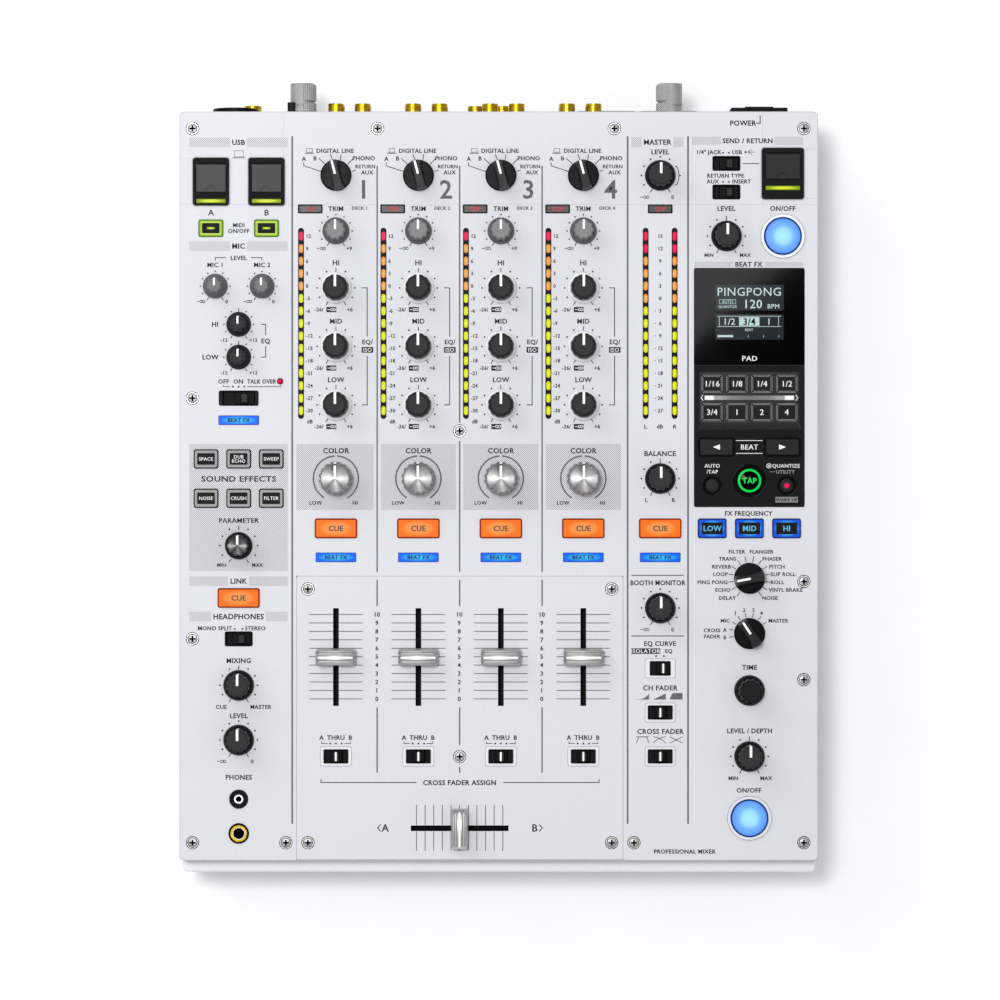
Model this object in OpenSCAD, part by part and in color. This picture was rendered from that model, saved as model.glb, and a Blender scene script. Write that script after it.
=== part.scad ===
// Four-channel club mixer for a DJ booth.
// X runs to the right, Y to the rear and Z up. The origin is on the table, below the middle of the mixer.

/* [Body] */
// Width of the top panel
panel_w = 333; // [331:0.5:336]
// Y of the top panel's rear edge
panel_rear = 190.8; // [190.5:0.1:192]
// Y of the top panel's front edge
panel_front = -199.8; // [-201:0.1:-199.5]
// Height of the top panel's upper face above the table
panel_top = 89; // [88:0.5:92]
// Thickness of the top panel and the fader panel
panel_t = 2; // [1.6:0.1:2.4]
// Radius of the top panel's corners
panel_r = 2.5; // [1:0.5:4]
// Sheet thickness of the bottom chassis
sheet_t = 1.5; // [1:0.1:2]
// Height of the rubber feet
foot_h = 8; // [6:0.5:9]
// Radius of the rubber feet
foot_r = 12; // [9:0.5:15]
// How far the front fascia stands out from the panel's front edge
fascia_out = 7.3; // [5:0.1:9]
// Height of the fascia's upper edge above the table
fascia_top = 70; // [60:1:80]

/* [Channel strips] */
// X of channel 1
ch_first = -84.9; // [-86:0.1:-84]
// Distance from one channel to the next
ch_pitch = 43; // [42.5:0.1:43.5]
// X of the master column
master_x = 84.2; // [83:0.1:85]
// Y of the input selectors
selector_y = 157.4; // [156:0.1:159]
// Y of the trim knobs
trim_y = 128.5; // [127:0.1:130]
// Y of the high equaliser knobs
high_y = 98.8; // [97:0.1:100]
// Distance between the equaliser knobs
eq_pitch = 30.5; // [30:0.1:31]
// Y of the filter knobs
filter_y = -0.6; // [-1:0.1:0]
// Y of the cue buttons
cue_y = -26.6; // [-27:0.1:-26]
// Y of the effect lamps
lamp_y = -41.7; // [-42:0.1:-41]
// Y of the uppermost meter segment
meter_top = 125.8; // [125:0.1:127]
// Distance between meter segments
meter_pitch = 6.5; // [6:0.1:6.6]

/* [Faders] */
// Middle of the channel faders' slots
fader_y = -93.7; // [-94:0.1:-93]
// Travel of every fader
fader_travel = 45; // [40:1:45]
// Width of the fader slots
slot_w = 3; // [2.6:0.1:3.4]
// X of the crossfader's middle
cross_x = -20.4; // [-21:0.1:-20]
// Y of the crossfader
cross_y = -183; // [-184:0.1:-182]
// Y of the crossfader assign switches
assign_y = -145.5; // [-146:0.1:-145]
// Length of a fader cap across its travel
cap_long = 20.7; // [18:0.1:22]
// Length of a fader cap along its travel
cap_short = 9; // [8:0.1:10]

/* [Side columns] */
// X of the left column
left_x = -135.6; // [-136:0.1:-135]
// X of the effects column
fx_x = 130.7; // [130:0.1:131]
// Distance between the effects column's small buttons
fx_pitch = 19.4; // [19:0.1:19.8]

/* [Fits] */
// Radius of a potentiometer shaft
shaft_r = 3; // [2.8:0.1:3.2]
// Radial running clearance of a shaft in its bush
running_gap = 0.05; // [0.02:0.01:0.09]
// Gap between a button or slider and the panel around it
side_gap = 0.3; // [0.2:0.05:0.4]
// Travel of the push buttons
press = 1; // [0.6:0.1:1]
// Travel of a slide switch from one position to the next
slide_step = 3; // [2.5:0.1:3]

/* [Hidden] */
$fn = 64;
eps = 0.01;
panel_low = panel_top - panel_t;
panel_mid = (panel_rear + panel_front) / 2;
panel_d = panel_rear - panel_front;
wall_y = panel_rear - 0.8;
wall_in = wall_y - sheet_t;
floor_top = foot_h + sheet_t;
board_top = panel_top - 17;
board_t = 1.6;
main_board_top = foot_h + 16;
channels = [for (i = [0:3]) ch_first + i * ch_pitch];
columns = concat(channels, [master_x]);
screw_head_r = 3;
screw_sink_r = 3.45;
screw_hole_r = 1.7;
meter_count = 15;
meter_mid = meter_top - (meter_count - 1) * meter_pitch / 2;
meter_len = (meter_count - 1) * meter_pitch + 9;

// Knobs: name, x, y, style and the angle of the pointer at rest, counter-clockwise from the rear.
channel_knobs = [
    for (i = [0:3]) each [
        [str("knob_input_", i + 1), channels[i], selector_y, "selector", 15],
        [str("knob_trim_", i + 1), channels[i], trim_y, "trim", 0],
        [str("knob_high_", i + 1), channels[i], high_y, "eq", 0],
        [str("knob_mid_", i + 1), channels[i], high_y - eq_pitch, "eq", 0],
        [str("knob_low_", i + 1), channels[i], high_y - 2 * eq_pitch, "eq", 0],
        [str("knob_filter_", i + 1), channels[i], filter_y, "filter", 0]
    ]
];
left_knobs = [
    ["knob_mic_1", left_x - 12.2, 99.7, "mic", 0],
    ["knob_mic_2", left_x + 12.2, 99.7, "mic", 0],
    ["knob_mic_high", left_x, 79.8, "mic", 0],
    ["knob_mic_low", left_x, 62.7, "mic", 0],
    ["knob_parameter", left_x, -35.6, "small", 0],
    ["knob_phones_mix", left_x, -108.4, "main", 0],
    ["knob_phones_level", left_x, -136.9, "main", 0]
];
right_knobs = [
    ["knob_master_level", master_x, selector_y, "main", 0],
    ["knob_balance", master_x, filter_y, "main", 0],
    ["knob_booth", master_x, -68.1, "main", 0],
    ["knob_send_level", 118.7, 125.8, "main", 0],
    ["knob_fx_select", fx_x, -52.6, "selector", 100.8],
    ["knob_fx_channel", fx_x, -81.4, "selector", 33.6],
    ["knob_fx_time", fx_x, -111.1, "main", 0],
    ["knob_fx_depth", fx_x, -145.5, "main", 0]
];
KNOBS = concat(channel_knobs, left_knobs, right_knobs);

// Knob styles: skirt radius, skirt top radius, skirt height, barrel radius, total height and flutes.
function knob_style(style) =
    style == "selector" ? [8.1, 7.9, 3.2, 0, 14.4, 0] :
    style == "trim" ? [7, 6.1, 5, 5.3, 15.4, 10] :
    style == "eq" ? [7.8, 7, 3.6, 6.7, 16.6, 12] :
    style == "filter" ? [8.8, 8.3, 3.2, 7.9, 18.9, 20] :
    style == "mic" ? [6.5, 4.2, 5.4, 3.7, 12.6, 8] :
    style == "small" ? [7.15, 6, 4.4, 5.3, 15, 10] :
    [8, 6.7, 4.6, 6.1, 16.2, 12];

// Push buttons: x, y, width, depth and how far the cap stands proud. Round ones have a depth of 0.
color_fx_x = [for (i = [-1:1]) left_x + i * 17];
fx_button_x = [for (i = [-1:1]) fx_x + i * fx_pitch];
CUE_BUTTONS = concat(
    [for (x = columns) [x, cue_y, 21.6, 9.8, 1.4]],
    [[left_x, -62.9, 21.4, 9.7, 1.4]]
);
SQUARE_BUTTONS = concat(
    [for (x = color_fx_x, y = [9.6, -10.9]) [x, y, 12.4, 9.5, 1.2]],
    [for (s = [-1, 1]) [left_x + s * 14.5, 129.9, 12.5, 8.6, 1.2]],
    [for (s = [-1, 1]) [fx_x + s * 17.2, 15.8, 17.5, 8.6, 1.4]],
    [for (x = fx_button_x) [x, cue_y, 14.5, 9.8, 1.2]]
);
ROUND_BUTTONS = [
    [fx_x - fx_pitch, -4.3, 9, 0, 1.3],
    [fx_x + fx_pitch, -4.3, 9, 0, 1.3]
];
RINGED_BUTTONS = [
    [fx_x, -1.7, 12.2, 0, 1.6],
    [fx_x + 17.4, 125.8, 19.4, 0, 1.8],
    [fx_x, -177.7, 19.4, 0, 1.8]
];
PANEL_BUTTONS = concat(CUE_BUTTONS, SQUARE_BUTTONS);
ALL_BUTTONS = concat(PANEL_BUTTONS, ROUND_BUTTONS, RINGED_BUTTONS);
// Outer diameters of the rings round the last three buttons.
ring_d = [18.4, 23, 23];

// Slide switches: x, y, window width, window depth, frame width, frame depth and the slider's rest offset.
THREE_WAY = concat(
    [for (x = channels) [x, assign_y, 12.9, 7.3, 15.7, 9.7, 0]],
    [for (y = [-122.6, assign_y]) [master_x, y, 12.9, 7.3, 15.3, 9.6, 0]]
);
TWO_WAY = [
    [left_x, 41.3, 17, 7.3, 20.7, 7.9, slide_step],
    [left_x, -84.2, 13.7, 6.9, 14.5, 7.7, slide_step / 2],
    [118.7, 163.7, 13.7, 6.9, 14.5, 7.7, slide_step / 2],
    [118.7, 148.8, 13.7, 6.9, 14.5, 7.7, slide_step / 2],
    [master_x, -99.6, 10.8, 7.5, 15.3, 9.6, slide_step / 2]
];
ALL_SLIDES = concat(THREE_WAY, TWO_WAY);

// Lamps in the panel: x, y, width and depth.
LAMPS = concat(
    [for (x = columns) [x, lamp_y, 20.8, 4.6]],
    [[left_x, 29.8, 20.7, 4.6]],
    [for (x = channels) [x - 13.4, 140, 12.4, 4.2]],
    [[master_x, 140, 12.4, 4.2]]
);
METERS = concat([for (x = channels) x - 18.2], [master_x - 7.6, master_x + 7.5]);
mic_led = [left_x + 21.6, 50.1];
mic_led_r = 1.6;

// USB port housings: x, y, width, depth, lid width, lid depth and lid middle.
USB_COMPUTER = [for (x = [-150.05, -121.1]) [x, 154.2, 18.9, 24.9, 15.1, 14.4, 156.2]];
USB_SEND = [[148.1, 158.4, 21.9, 26.7, 17.7, 13.2, 162.4]];
ALL_USB = concat(USB_COMPUTER, USB_SEND);
housing_top = panel_top + 0.8;
lid_t = 1.6;
lid_pin_r = 0.7;
lid_z = housing_top - 0.2 - lid_t / 2;
port_w = 8.5;
port_d = 7.8;
port_depth = 10;

// Screws in the top panel and in the fader panel, and the feet, each with its own screw.
TOP_SCREWS = concat(
    [for (x = [-159.7, -63.2, 60.3, 159.1]) [x, 181.9]],
    [for (y = [41.3, -84.2, -190.5]) [-159.7, y]],
    [for (y = [-54.3, -105.5, -190.5]) [159.1, y]],
    [[-111, -190.5], [70.5, -190.5], [-20.4, 24.2]]
);
FADER_SCREWS = concat(
    [for (x = [-99.5, 58.9], y = [-58.2, -190.5]) [x, y]],
    [[-20.4, -145.6]]
);
FEET = [for (x = [-138, 138], y = [-165, 165]) [x, y]];
fader_left = -105.3;
fader_right = 64.6;
fader_rear = -51.7;
seam = 0.35;

// The glossy effects panel, its touch pad and the pad's keys.
fx_left = 101.9;
fx_right = 159.4;
fx_rear = 109.1;
fx_front = -15.4;
fx_mid = (fx_left + fx_right) / 2;
pad_rear = 56.8;
pad_front = 24.8;
pad_w = 54.3;

// Phones sockets in the top panel: y, outer radius, bore radius and depth.
PHONES = [[-167.8, 4.9, 1.8, 15], [-185.7, 5.3, 3.2, 32]];

// Rear sockets: x and z of each.
rca_row = 66;
rca_low = 49;
pair_x = [for (i = [0:3]) -78.6 + i * 40.5];
RCA_HIGH = [for (x = pair_x, s = [-7, 7]) [x + s, rca_row]];
RCA_LOW = [for (x = [pair_x[0], pair_x[1], -5.3, pair_x[3]], s = [-7, 7]) [x + s, rca_low]];
ALL_RCA = concat(RCA_HIGH, RCA_LOW);
POSTS = [[-103.3, rca_row], [90.2, rca_row]];
JACKS = concat([[-131, 30]], [for (x = [pair_x[0], pair_x[1]], s = [-9, 9]) [x + s, 24]]);
XLR = [[57, 30], [89.9, 30]];
rca_r = 4.15;
post_r = 6.3;
post_end = 207.1;
combo_at = [-138.8, 60];
din_at = [22, 28];
lan_at = [-104.7, 32];
inlet_at = [137, 34];
switch_at = [136.4, 68];
rocker_w = 14.7;
rocker_h = 18.4;
rocker_dip = 10;

FADERS = [for (i = [0:3]) str("fader_", i + 1)];
STATIC = ["bottom_chassis", "top_panel", "fader_panel", "front_fascia", "rubber_feet", "screws",
          "sockets", "fx_panel", "circuit_boards", "panel_components"];
MOVING = ["crossfader", "usb_lids", "send_usb_lid", "power_rocker", "push_buttons",
          "three_way_switches", "two_way_switches"];

// ---- outlines and simple solids ----

module rounded(w, d, r) {
    square([w - 2 * r, d], center = true);
    square([w, d - 2 * r], center = true);
    for (x = [-1, 1], y = [-1, 1])
        translate([x * (w / 2 - r), y * (d / 2 - r)]) circle(r);
}

module slab(w, d, r, low, high) {
    translate([0, 0, low]) linear_extrude(high - low) rounded(w, d, r);
}

module rod(r, low, high) {
    translate([0, 0, low]) cylinder(r = r, h = high - low);
}

module block(w, d, low, high) {
    translate([-w / 2, -d / 2, low]) cube([w, d, high - low]);
}

// Turns a shape drawn upwards so that it points out of the rear wall at x, z.
module rear(at) {
    translate([at[0], wall_y, at[1]]) rotate([-90, 0, 0]) children();
}

// ---- openings shared by the panel and what fills them ----

module button_hole(b, grow) {
    translate([b[0], b[1]])
        if (b[3] == 0) circle(b[2] / 2 + grow);
        else rounded(b[2] + 2 * grow, b[3] + 2 * grow, 1.2);
}

module knob_holes(low_y, high_y) {
    for (k = KNOBS)
        if (k[2] > low_y && k[2] < high_y) translate([k[1], k[2]]) circle(shaft_r + 0.9);
}

module screw_hole(at) {
    translate([at[0], at[1], 0]) {
        rod(screw_hole_r, panel_low - 1, panel_top + 1);
        rod(screw_sink_r, panel_top - 1, panel_top + 1);
    }
}

// ---- static pieces ----

// The chassis as seen from above, back to the given Y.
module chassis_outline(z_low, z_high, inset, back) {
    front = panel_front + 0.6 + inset;
    translate([0, (back + front) / 2, 0]) block(panel_w - 1 - 2 * inset, back - front, z_low, z_high);
}

module rear_cutouts() {
    for (p = ALL_RCA) rear(p) rod(rca_r + 0.15, -5, 5);
    for (p = POSTS) rear(p) rod(3.15, -5, 5);
    for (p = JACKS) rear(p) rod(4.6, -5, 5);
    for (p = XLR) rear(p) rod(11.6, -5, 5);
    rear(combo_at) rod(12, -5, 5);
    rear(din_at) rod(7.7, -5, 5);
    rear(lan_at) block(16.2, 14.2, -5, 5);
    rear(inlet_at) block(27.4, 20.4, -5, 5);
    rear(switch_at) block(19.4, 24.4, -5, 5);
}

// A folded sheet tray, and the rear plate that closes it.
module bottom_chassis() {
    tray_end = wall_in - 0.05;
    color("whitesmoke") {
        difference() {
            chassis_outline(foot_h, panel_low, 0, tray_end);
            chassis_outline(floor_top, panel_low + 1, sheet_t, wall_y);
            for (i = [-7:7], x = [-80, 0, 80])
                translate([x, i * 8 + 30, foot_h]) block(50, 3, -1, sheet_t + 1);
            for (p = FEET) translate([p[0], p[1], foot_h]) rod(screw_hole_r, -1, sheet_t + 1);
        }
        difference() {
            translate([0, (wall_in + wall_y) / 2, 0]) block(panel_w - 1, sheet_t, foot_h, panel_low);
            rear_cutouts();
        }
    }
}

// Hairline cuts that part the top panel into plain plates round the USB ports.
module plate_cuts() {
    hair = 0.05;
    port_front = USB_COMPUTER[0][1] - (USB_COMPUTER[0][3] - 1) / 2;
    inner_left = USB_COMPUTER[1][0] + (USB_COMPUTER[1][2] - 1) / 2;
    inner_right = USB_SEND[0][0] - (USB_SEND[0][2] - 1) / 2;
    edge = panel_w / 2 + 1;
    translate([-edge, port_front - hair]) square([2 * edge, hair]);
    for (x = [inner_left, inner_right - hair])
        translate([x, port_front - hair]) square([hair, panel_rear - port_front + 1]);
    translate([-edge, USB_COMPUTER[0][1] + (USB_COMPUTER[0][3] - 1) / 2])
        square([edge + inner_left + hair, hair]);
    for (s = [-1, 1])
        translate([inner_right - hair, USB_SEND[0][1] + s * (USB_SEND[0][3] - 1 + hair) / 2 - hair / 2])
            square([edge - inner_right + hair, hair]);
}

module panel_cutouts() {
    knob_holes(-200, 200);
    for (b = PANEL_BUTTONS) button_hole(b, side_gap);
    for (i = [1:2]) translate([RINGED_BUTTONS[i][0], RINGED_BUTTONS[i][1]]) circle(ring_d[i] / 2 + 0.1);
    for (s = ALL_SLIDES) translate([s[0], s[1]]) rounded(s[4] + 0.1, s[5] + 0.1, 1);
    for (l = LAMPS) translate([l[0], l[1]]) square([l[2] + 0.1, l[3] + 0.1], center = true);
    for (x = METERS) translate([x, meter_mid]) square([3.5, meter_len + 0.1], center = true);
    for (u = ALL_USB) translate([u[0], u[1]]) square([u[2] - 1, u[3] - 1], center = true);
    plate_cuts();
    for (p = PHONES) translate([left_x, p[0]]) circle(p[1] + 0.1);
    translate(mic_led) circle(mic_led_r + 0.1);
    translate([fx_mid, (fx_rear + fx_front) / 2])
        rounded(fx_right - fx_left + 0.3, fx_rear - fx_front + 0.3, 1);
}

module top_panel() {
    notch_w = fader_right - fader_left + 2 * seam;
    notch_d = fader_rear - panel_front + seam;
    color("white") difference() {
        translate([0, 0, panel_low]) linear_extrude(panel_t) difference() {
            translate([0, panel_mid]) rounded(panel_w, panel_d, panel_r);
            panel_cutouts();
            translate([fader_left - seam, panel_front - 1]) square([notch_w, notch_d + 1]);
        }
        for (p = TOP_SCREWS) screw_hole(p);
    }
}

module fader_panel() {
    w = fader_right - fader_left;
    d = fader_rear - panel_front;
    slot = fader_travel + 6;
    color("white") difference() {
        translate([0, 0, panel_low]) linear_extrude(panel_t) difference() {
            translate([fader_left + w / 2, panel_front + d / 2]) rounded(w, d, 1);
            for (x = channels) {
                translate([x, fader_y]) square([slot_w, slot], center = true);
                translate([x, assign_y]) rounded(15.8, 9.8, 1);
            }
            translate([cross_x, cross_y]) square([slot, slot_w], center = true);
        }
        for (p = FADER_SCREWS) screw_hole(p);
    }
}

module front_fascia() {
    w = panel_w - 4;
    back = panel_front + 0.6;
    depth = fascia_out + 0.6;
    r = 5;
    low = foot_h + 4;
    color("whitesmoke") translate([0, back - depth, 0]) difference() {
        translate([0, 0, low]) linear_extrude(fascia_top - low) difference() {
            translate([0, depth]) rounded(w, 2 * depth, r);
            translate([0, 2 * depth]) square([w + 1, 2 * depth], center = true);
        }
        translate([0, depth / 2 + 2, 0]) block(w - 12, depth, low + 2, fascia_top - 2);
    }
}

module rubber_feet() {
    color("dimgray") for (p = FEET) translate([p[0], p[1], 0]) difference() {
        rotate_extrude()
            polygon([[0, 0], [foot_r - 1.5, 0], [foot_r, 1.5], [foot_r - 1, foot_h], [0, foot_h]]);
        rod(screw_sink_r, -1, 4);
        rod(screw_hole_r, -1, foot_h + 1);
    }
}

// A pan-head screw with a cross recess, standing on the seat of its head.
module screw(shank_r) {
    difference() {
        union() {
            rod(screw_head_r, 0, 1.2);
            rod(shank_r, -8, 0.1);
        }
        block(3, 0.8, 0.5, 2);
        block(0.8, 3, 0.5, 2);
    }
}

module screws() {
    color("silver") {
        for (p = concat(TOP_SCREWS, FADER_SCREWS)) translate([p[0], p[1], panel_top - 1]) screw(1.4);
        for (p = FEET) translate([p[0], p[1], 4]) rotate([180, 0, 0]) screw(1.4);
    }
}

module rca() {
    difference() {
        union() {
            rod(rca_r + 1.4, 0, 1.2);
            rod(rca_r, -3, 6.5);
            block(10, 10, -16, -sheet_t);
        }
        rod(1.65, -6, 7);
    }
}

module jack_quarter_inch() {
    difference() {
        union() {
            rod(6, 0, 2);
            rod(4.5, -3, 3);
            block(15, 13, -19, -sheet_t);
        }
        rod(3.2, -17, 4);
    }
}

module xlr_male() {
    difference() {
        union() {
            slab(31, 26, 3, 0, 1.6);
            rod(11.5, -18, 0.5);
        }
        rod(9.5, -15, 2);
    }
}

module combo_jack() {
    difference() {
        union() {
            slab(31, 26, 3, 0, 0.7);
            rod(11.8, -18, 3.1);
        }
        rod(3.2, -17, 4);
        for (a = [0, 90, 180]) rotate(a) translate([8, 0, 0]) rod(1.4, -12, 4);
    }
}

module din_socket() {
    difference() {
        union() {
            slab(22, 19, 2, 0, 1.4);
            rod(7.6, -16, 0.5);
        }
        for (a = [0:45:180]) rotate(a) translate([5.1, 0, 0]) rod(0.9, -9, 2);
    }
}

module lan_port() {
    difference() {
        block(16, 14, -16, 4.8);
        translate([0, 0.5, 0]) block(11.9, 8, -12, 6);
    }
}

module ground_post() {
    difference() {
        union() {
            rod(post_r, 0, post_end - wall_y);
            rod(3, -6, 1);
            rod(5, -6, -sheet_t);
        }
        difference() {
            rod(post_r + 1, 5.2, 5.8);
            rod(post_r - 1, 5, 6);
        }
    }
}

module mains_inlet() {
    difference() {
        union() {
            slab(50, 24, 4, 0, 2);
            block(27, 20, -18, 1);
        }
        block(24, 17, -16, 3);
    }
    for (s = [-1, 1]) translate([s * 20, 0, 0]) rod(2.6, 1.9, 3.2);
}

module rocker_pivot(r, half) {
    translate([0, 0, -3]) rotate([0, 90, 0]) translate([0, 0, -half]) cylinder(r = r, h = 2 * half);
}

module switch_frame() {
    difference() {
        union() {
            slab(29.4, 27, 2, 0, 2);
            block(19.2, 24.2, -15, 1);
        }
        block(rocker_w + 0.6, rocker_h + 2.6, -10, 3);
        rocker_pivot(1 + running_gap, rocker_w / 2 + 1);
    }
}

module phones_socket(p) {
    translate([left_x, p[0], 0]) difference() {
        union() {
            rod(p[1], panel_low - 4, panel_top + 0.4);
            block(11, p[2] * 3 + 3, panel_top - p[3] - 3, panel_low - 0.2);
        }
        rod(p[2], panel_top - p[3], panel_top + 1);
    }
}

// The lid's hinge line is at the rear of the lid.
function lid_hinge(u) = u[6] + u[5] / 2 - lid_t / 2;

// A moulded bezel round the lid, over the port's well of plain walls and its floor.
module usb_housing(u) {
    lid_w = u[4];
    hinge = lid_hinge(u);
    front = u[6] - u[5] / 2;
    lamp = front - 4.9;
    body_top = lid_z - lid_t / 2 - side_gap;
    difference() {
        translate([u[0], u[1], 0]) {
            slab(u[2], u[3], 1.5, panel_top, housing_top);
            slab(u[2] - 1.2, u[3] - 1.2, 1, body_top, panel_top + 0.1);
        }
        translate([u[0] - lid_w / 2 - side_gap, front - side_gap, body_top - 1])
            cube([lid_w + 2 * side_gap, hinge - front + side_gap + 1.2, 4]);
        translate([u[0], front, housing_top]) rod(3.2, -1.2, 1);
        translate([u[0] - lid_w / 2 - 1, hinge, lid_z]) rotate([0, 90, 0])
            cylinder(r = lid_pin_r + running_gap, h = lid_w + 2);
        translate([u[0], lamp, 0]) block(lid_w + 0.3, 2.3, housing_top - 1, housing_top + 1);
    }
    translate([u[0], lamp, 0]) block(lid_w, 2, housing_top - 0.95, housing_top + 0.2);
    port_well(u, body_top - 0.05);
}

module port_well(u, top) {
    low = panel_top - 13.5;
    gap = 0.05;
    mid = u[6] - 0.4;
    front = u[1] - (u[3] - 1.2) / 2;
    rear = u[1] + (u[3] - 1.2) / 2;
    side = (u[2] - 1.2 - port_w) / 2;
    for (s = [-1, 1]) translate([u[0] + s * (port_w + side) / 2, u[1], 0])
        block(side, u[3] - 1.2, low, top);
    front_d = mid - port_d / 2 - front;
    rear_d = rear - mid - port_d / 2;
    translate([u[0], front + front_d / 2, 0]) block(port_w - 2 * gap, front_d, low, top);
    translate([u[0], rear - rear_d / 2, 0]) block(port_w - 2 * gap, rear_d, low, top);
    translate([u[0], mid, 0])
        block(port_w - 2 * gap, port_d - 2 * gap, low, lid_z - lid_t / 2 - port_depth);
}

module sockets() {
    color("goldenrod") {
        for (p = ALL_RCA) rear(p) rca();
        for (p = JACKS) rear(p) jack_quarter_inch();
    }
    color("silver") for (p = POSTS) rear(p) ground_post();
    color("dimgray") {
        for (p = XLR) rear(p) xlr_male();
        rear(combo_at) combo_jack();
        rear(din_at) din_socket();
        rear(lan_at) lan_port();
        rear(inlet_at) mains_inlet();
        rear(switch_at) switch_frame();
        for (p = PHONES) phones_socket(p);
        for (u = ALL_USB) usb_housing(u);
    }
}

module fx_panel() {
    w = fx_right - fx_left;
    d = fx_rear - fx_front;
    top = panel_top + 0.3;
    pad_mid = (pad_rear + pad_front) / 2;
    color("black") {
        difference() {
            translate([0, 0, panel_low]) linear_extrude(top - panel_low) difference() {
                translate([fx_mid, (fx_rear + fx_front) / 2]) rounded(w, d, 1);
                for (b = SQUARE_BUTTONS) if (b[1] == 15.8) button_hole(b, side_gap);
                for (b = ROUND_BUTTONS) button_hole(b, side_gap);
                translate([RINGED_BUTTONS[0][0], RINGED_BUTTONS[0][1]]) circle(ring_d[0] / 2 + 0.1);
            }
            translate([fx_x, pad_mid, 0]) block(pad_w, pad_rear - pad_front, top - 0.8, top + 1);
        }
        for (i = [-1.5:1.5], y = [48.8, 34]) translate([fx_x + i * 13, y, 0])
            slab(11, 9.3, 1, top - 0.9, top - 0.3);
    }
}

module circuit_boards() {
    color("darkgreen") {
        translate([0, 0, board_top - board_t]) linear_extrude(board_t) difference() {
            translate([0, -14]) square([318, 364], center = true);
            for (p = PHONES) translate([left_x, p[0]]) square([12, p[2] * 3 + 4], center = true);
        }
        difference() {
            translate([-32, 10, 0]) block(250, 300, main_board_top - board_t, main_board_top);
            for (x = [-145, 80], y = [-130, 150]) translate([x, y, 0]) rod(1.6, 0, main_board_top + 1);
        }
        translate([130, 105, 0]) block(56, 110, main_board_top - board_t, main_board_top);
    }
    color("gray") for (x = [-145, 80], y = [-130, 150]) translate([x, y, 0]) difference() {
        rod(3, floor_top, main_board_top - board_t - 0.1);
        rod(1.3, floor_top + 2, main_board_top);
    }
    color("goldenrod") translate([126, 88, 0]) block(34, 38, main_board_top + 0.1, main_board_top + 28);
    color("midnightblue") for (x = [115, 138], y = [62, 124]) translate([x, y, 0])
        rod(8, main_board_top + 0.1, main_board_top + 26);
    color("gray") for (x = [-100, 0]) translate([x, 30, 0])
        block(34, 1.2, main_board_top + 0.1, board_top - board_t - 0.1);
    color("black") for (x = [-90, -40, 10]) translate([x, 80, 0])
        block(26, 26, main_board_top + 0.1, main_board_top + 2.6);
}

module potentiometer() {
    difference() {
        union() {
            block(11, 11, board_top, board_top + 6.5);
            rod(shaft_r + 0.6, board_top + 6, panel_low - 0.6);
        }
        rod(shaft_r + running_gap, board_top + 1.5, panel_top);
    }
}

module tact_switch() {
    block(6, 6, board_top, board_top + 3.4);
    rod(1.6, board_top + 3.3, board_top + 4);
}

module button_ring(b, outer) {
    translate([b[0], b[1], 0]) difference() {
        rod(outer / 2, board_top + 6, panel_top + 0.9);
        rod(b[2] / 2 + side_gap, board_top, panel_top + 2);
    }
}

module slide_body(s) {
    translate([s[0], s[1], 0]) difference() {
        slab(s[4], s[5], 1, board_top, panel_top + 0.2);
        slab(s[2], s[3], 0.6, panel_low - 5, panel_top + 1);
    }
}

module fader_body(along_x) {
    long = fader_travel + 15;
    rotate(along_x ? 90 : 0) difference() {
        block(11, long, board_top + 1, panel_low - 0.1);
        block(2.4, fader_travel + 6, board_top + 3, panel_low + 1);
    }
}

module panel_components() {
    color("slategray") {
        for (k = KNOBS) translate([k[1], k[2], 0]) potentiometer();
        for (b = ALL_BUTTONS) translate([b[0], b[1], 0]) tact_switch();
        for (s = ALL_SLIDES) slide_body(s);
        for (x = channels) translate([x, fader_y, 0]) fader_body(false);
        translate([cross_x, cross_y, 0]) fader_body(true);
    }
    color("lightgray") for (i = [0:2]) button_ring(RINGED_BUTTONS[i], ring_d[i]);
    color("dodgerblue") for (l = LAMPS) translate([l[0], l[1], 0])
        block(l[2], l[3], board_top + 8, panel_top + 0.1);
    color("black") for (x = METERS) translate([x, meter_mid, 0])
        block(3.3, meter_len, board_top + 8, panel_top - 0.3);
    color("red") translate([mic_led[0], mic_led[1], 0]) rod(mic_led_r, board_top + 8, panel_top + 0.5);
}

// ---- moving pieces ----

// A cap with a skirt, a fluted barrel and a raised pointer, on its shaft.
module knob(k) {
    s = knob_style(k[3]);
    low = panel_top + 0.6;
    top = panel_top + s[4];
    barrel = s[3];
    flutes = s[5];
    translate([k[1], k[2], 0]) rotate(k[4]) {
        rod(shaft_r, board_top + 2, low + 1);
        translate([0, 0, low]) cylinder(r1 = s[0], r2 = s[1], h = s[2]);
        if (barrel > 0) {
            translate([0, 0, low + s[2] - eps]) linear_extrude(top - low - s[2] + eps) difference() {
                circle(barrel);
                for (i = [0:flutes - 1]) rotate((i + 0.5) * 360 / flutes)
                    translate([0, barrel + barrel * 1.1 / flutes]) circle(barrel * 1.9 / flutes);
            }
            translate([-0.6, barrel * 0.25, low + s[2]]) cube([1.2, barrel * 0.73, top - low - s[2]]);
        } else {
            intersection() {
                rod(s[1] - 0.1, low + s[2] - eps, top);
                block(5.4, 20, low, top);
            }
        }
    }
}

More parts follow.
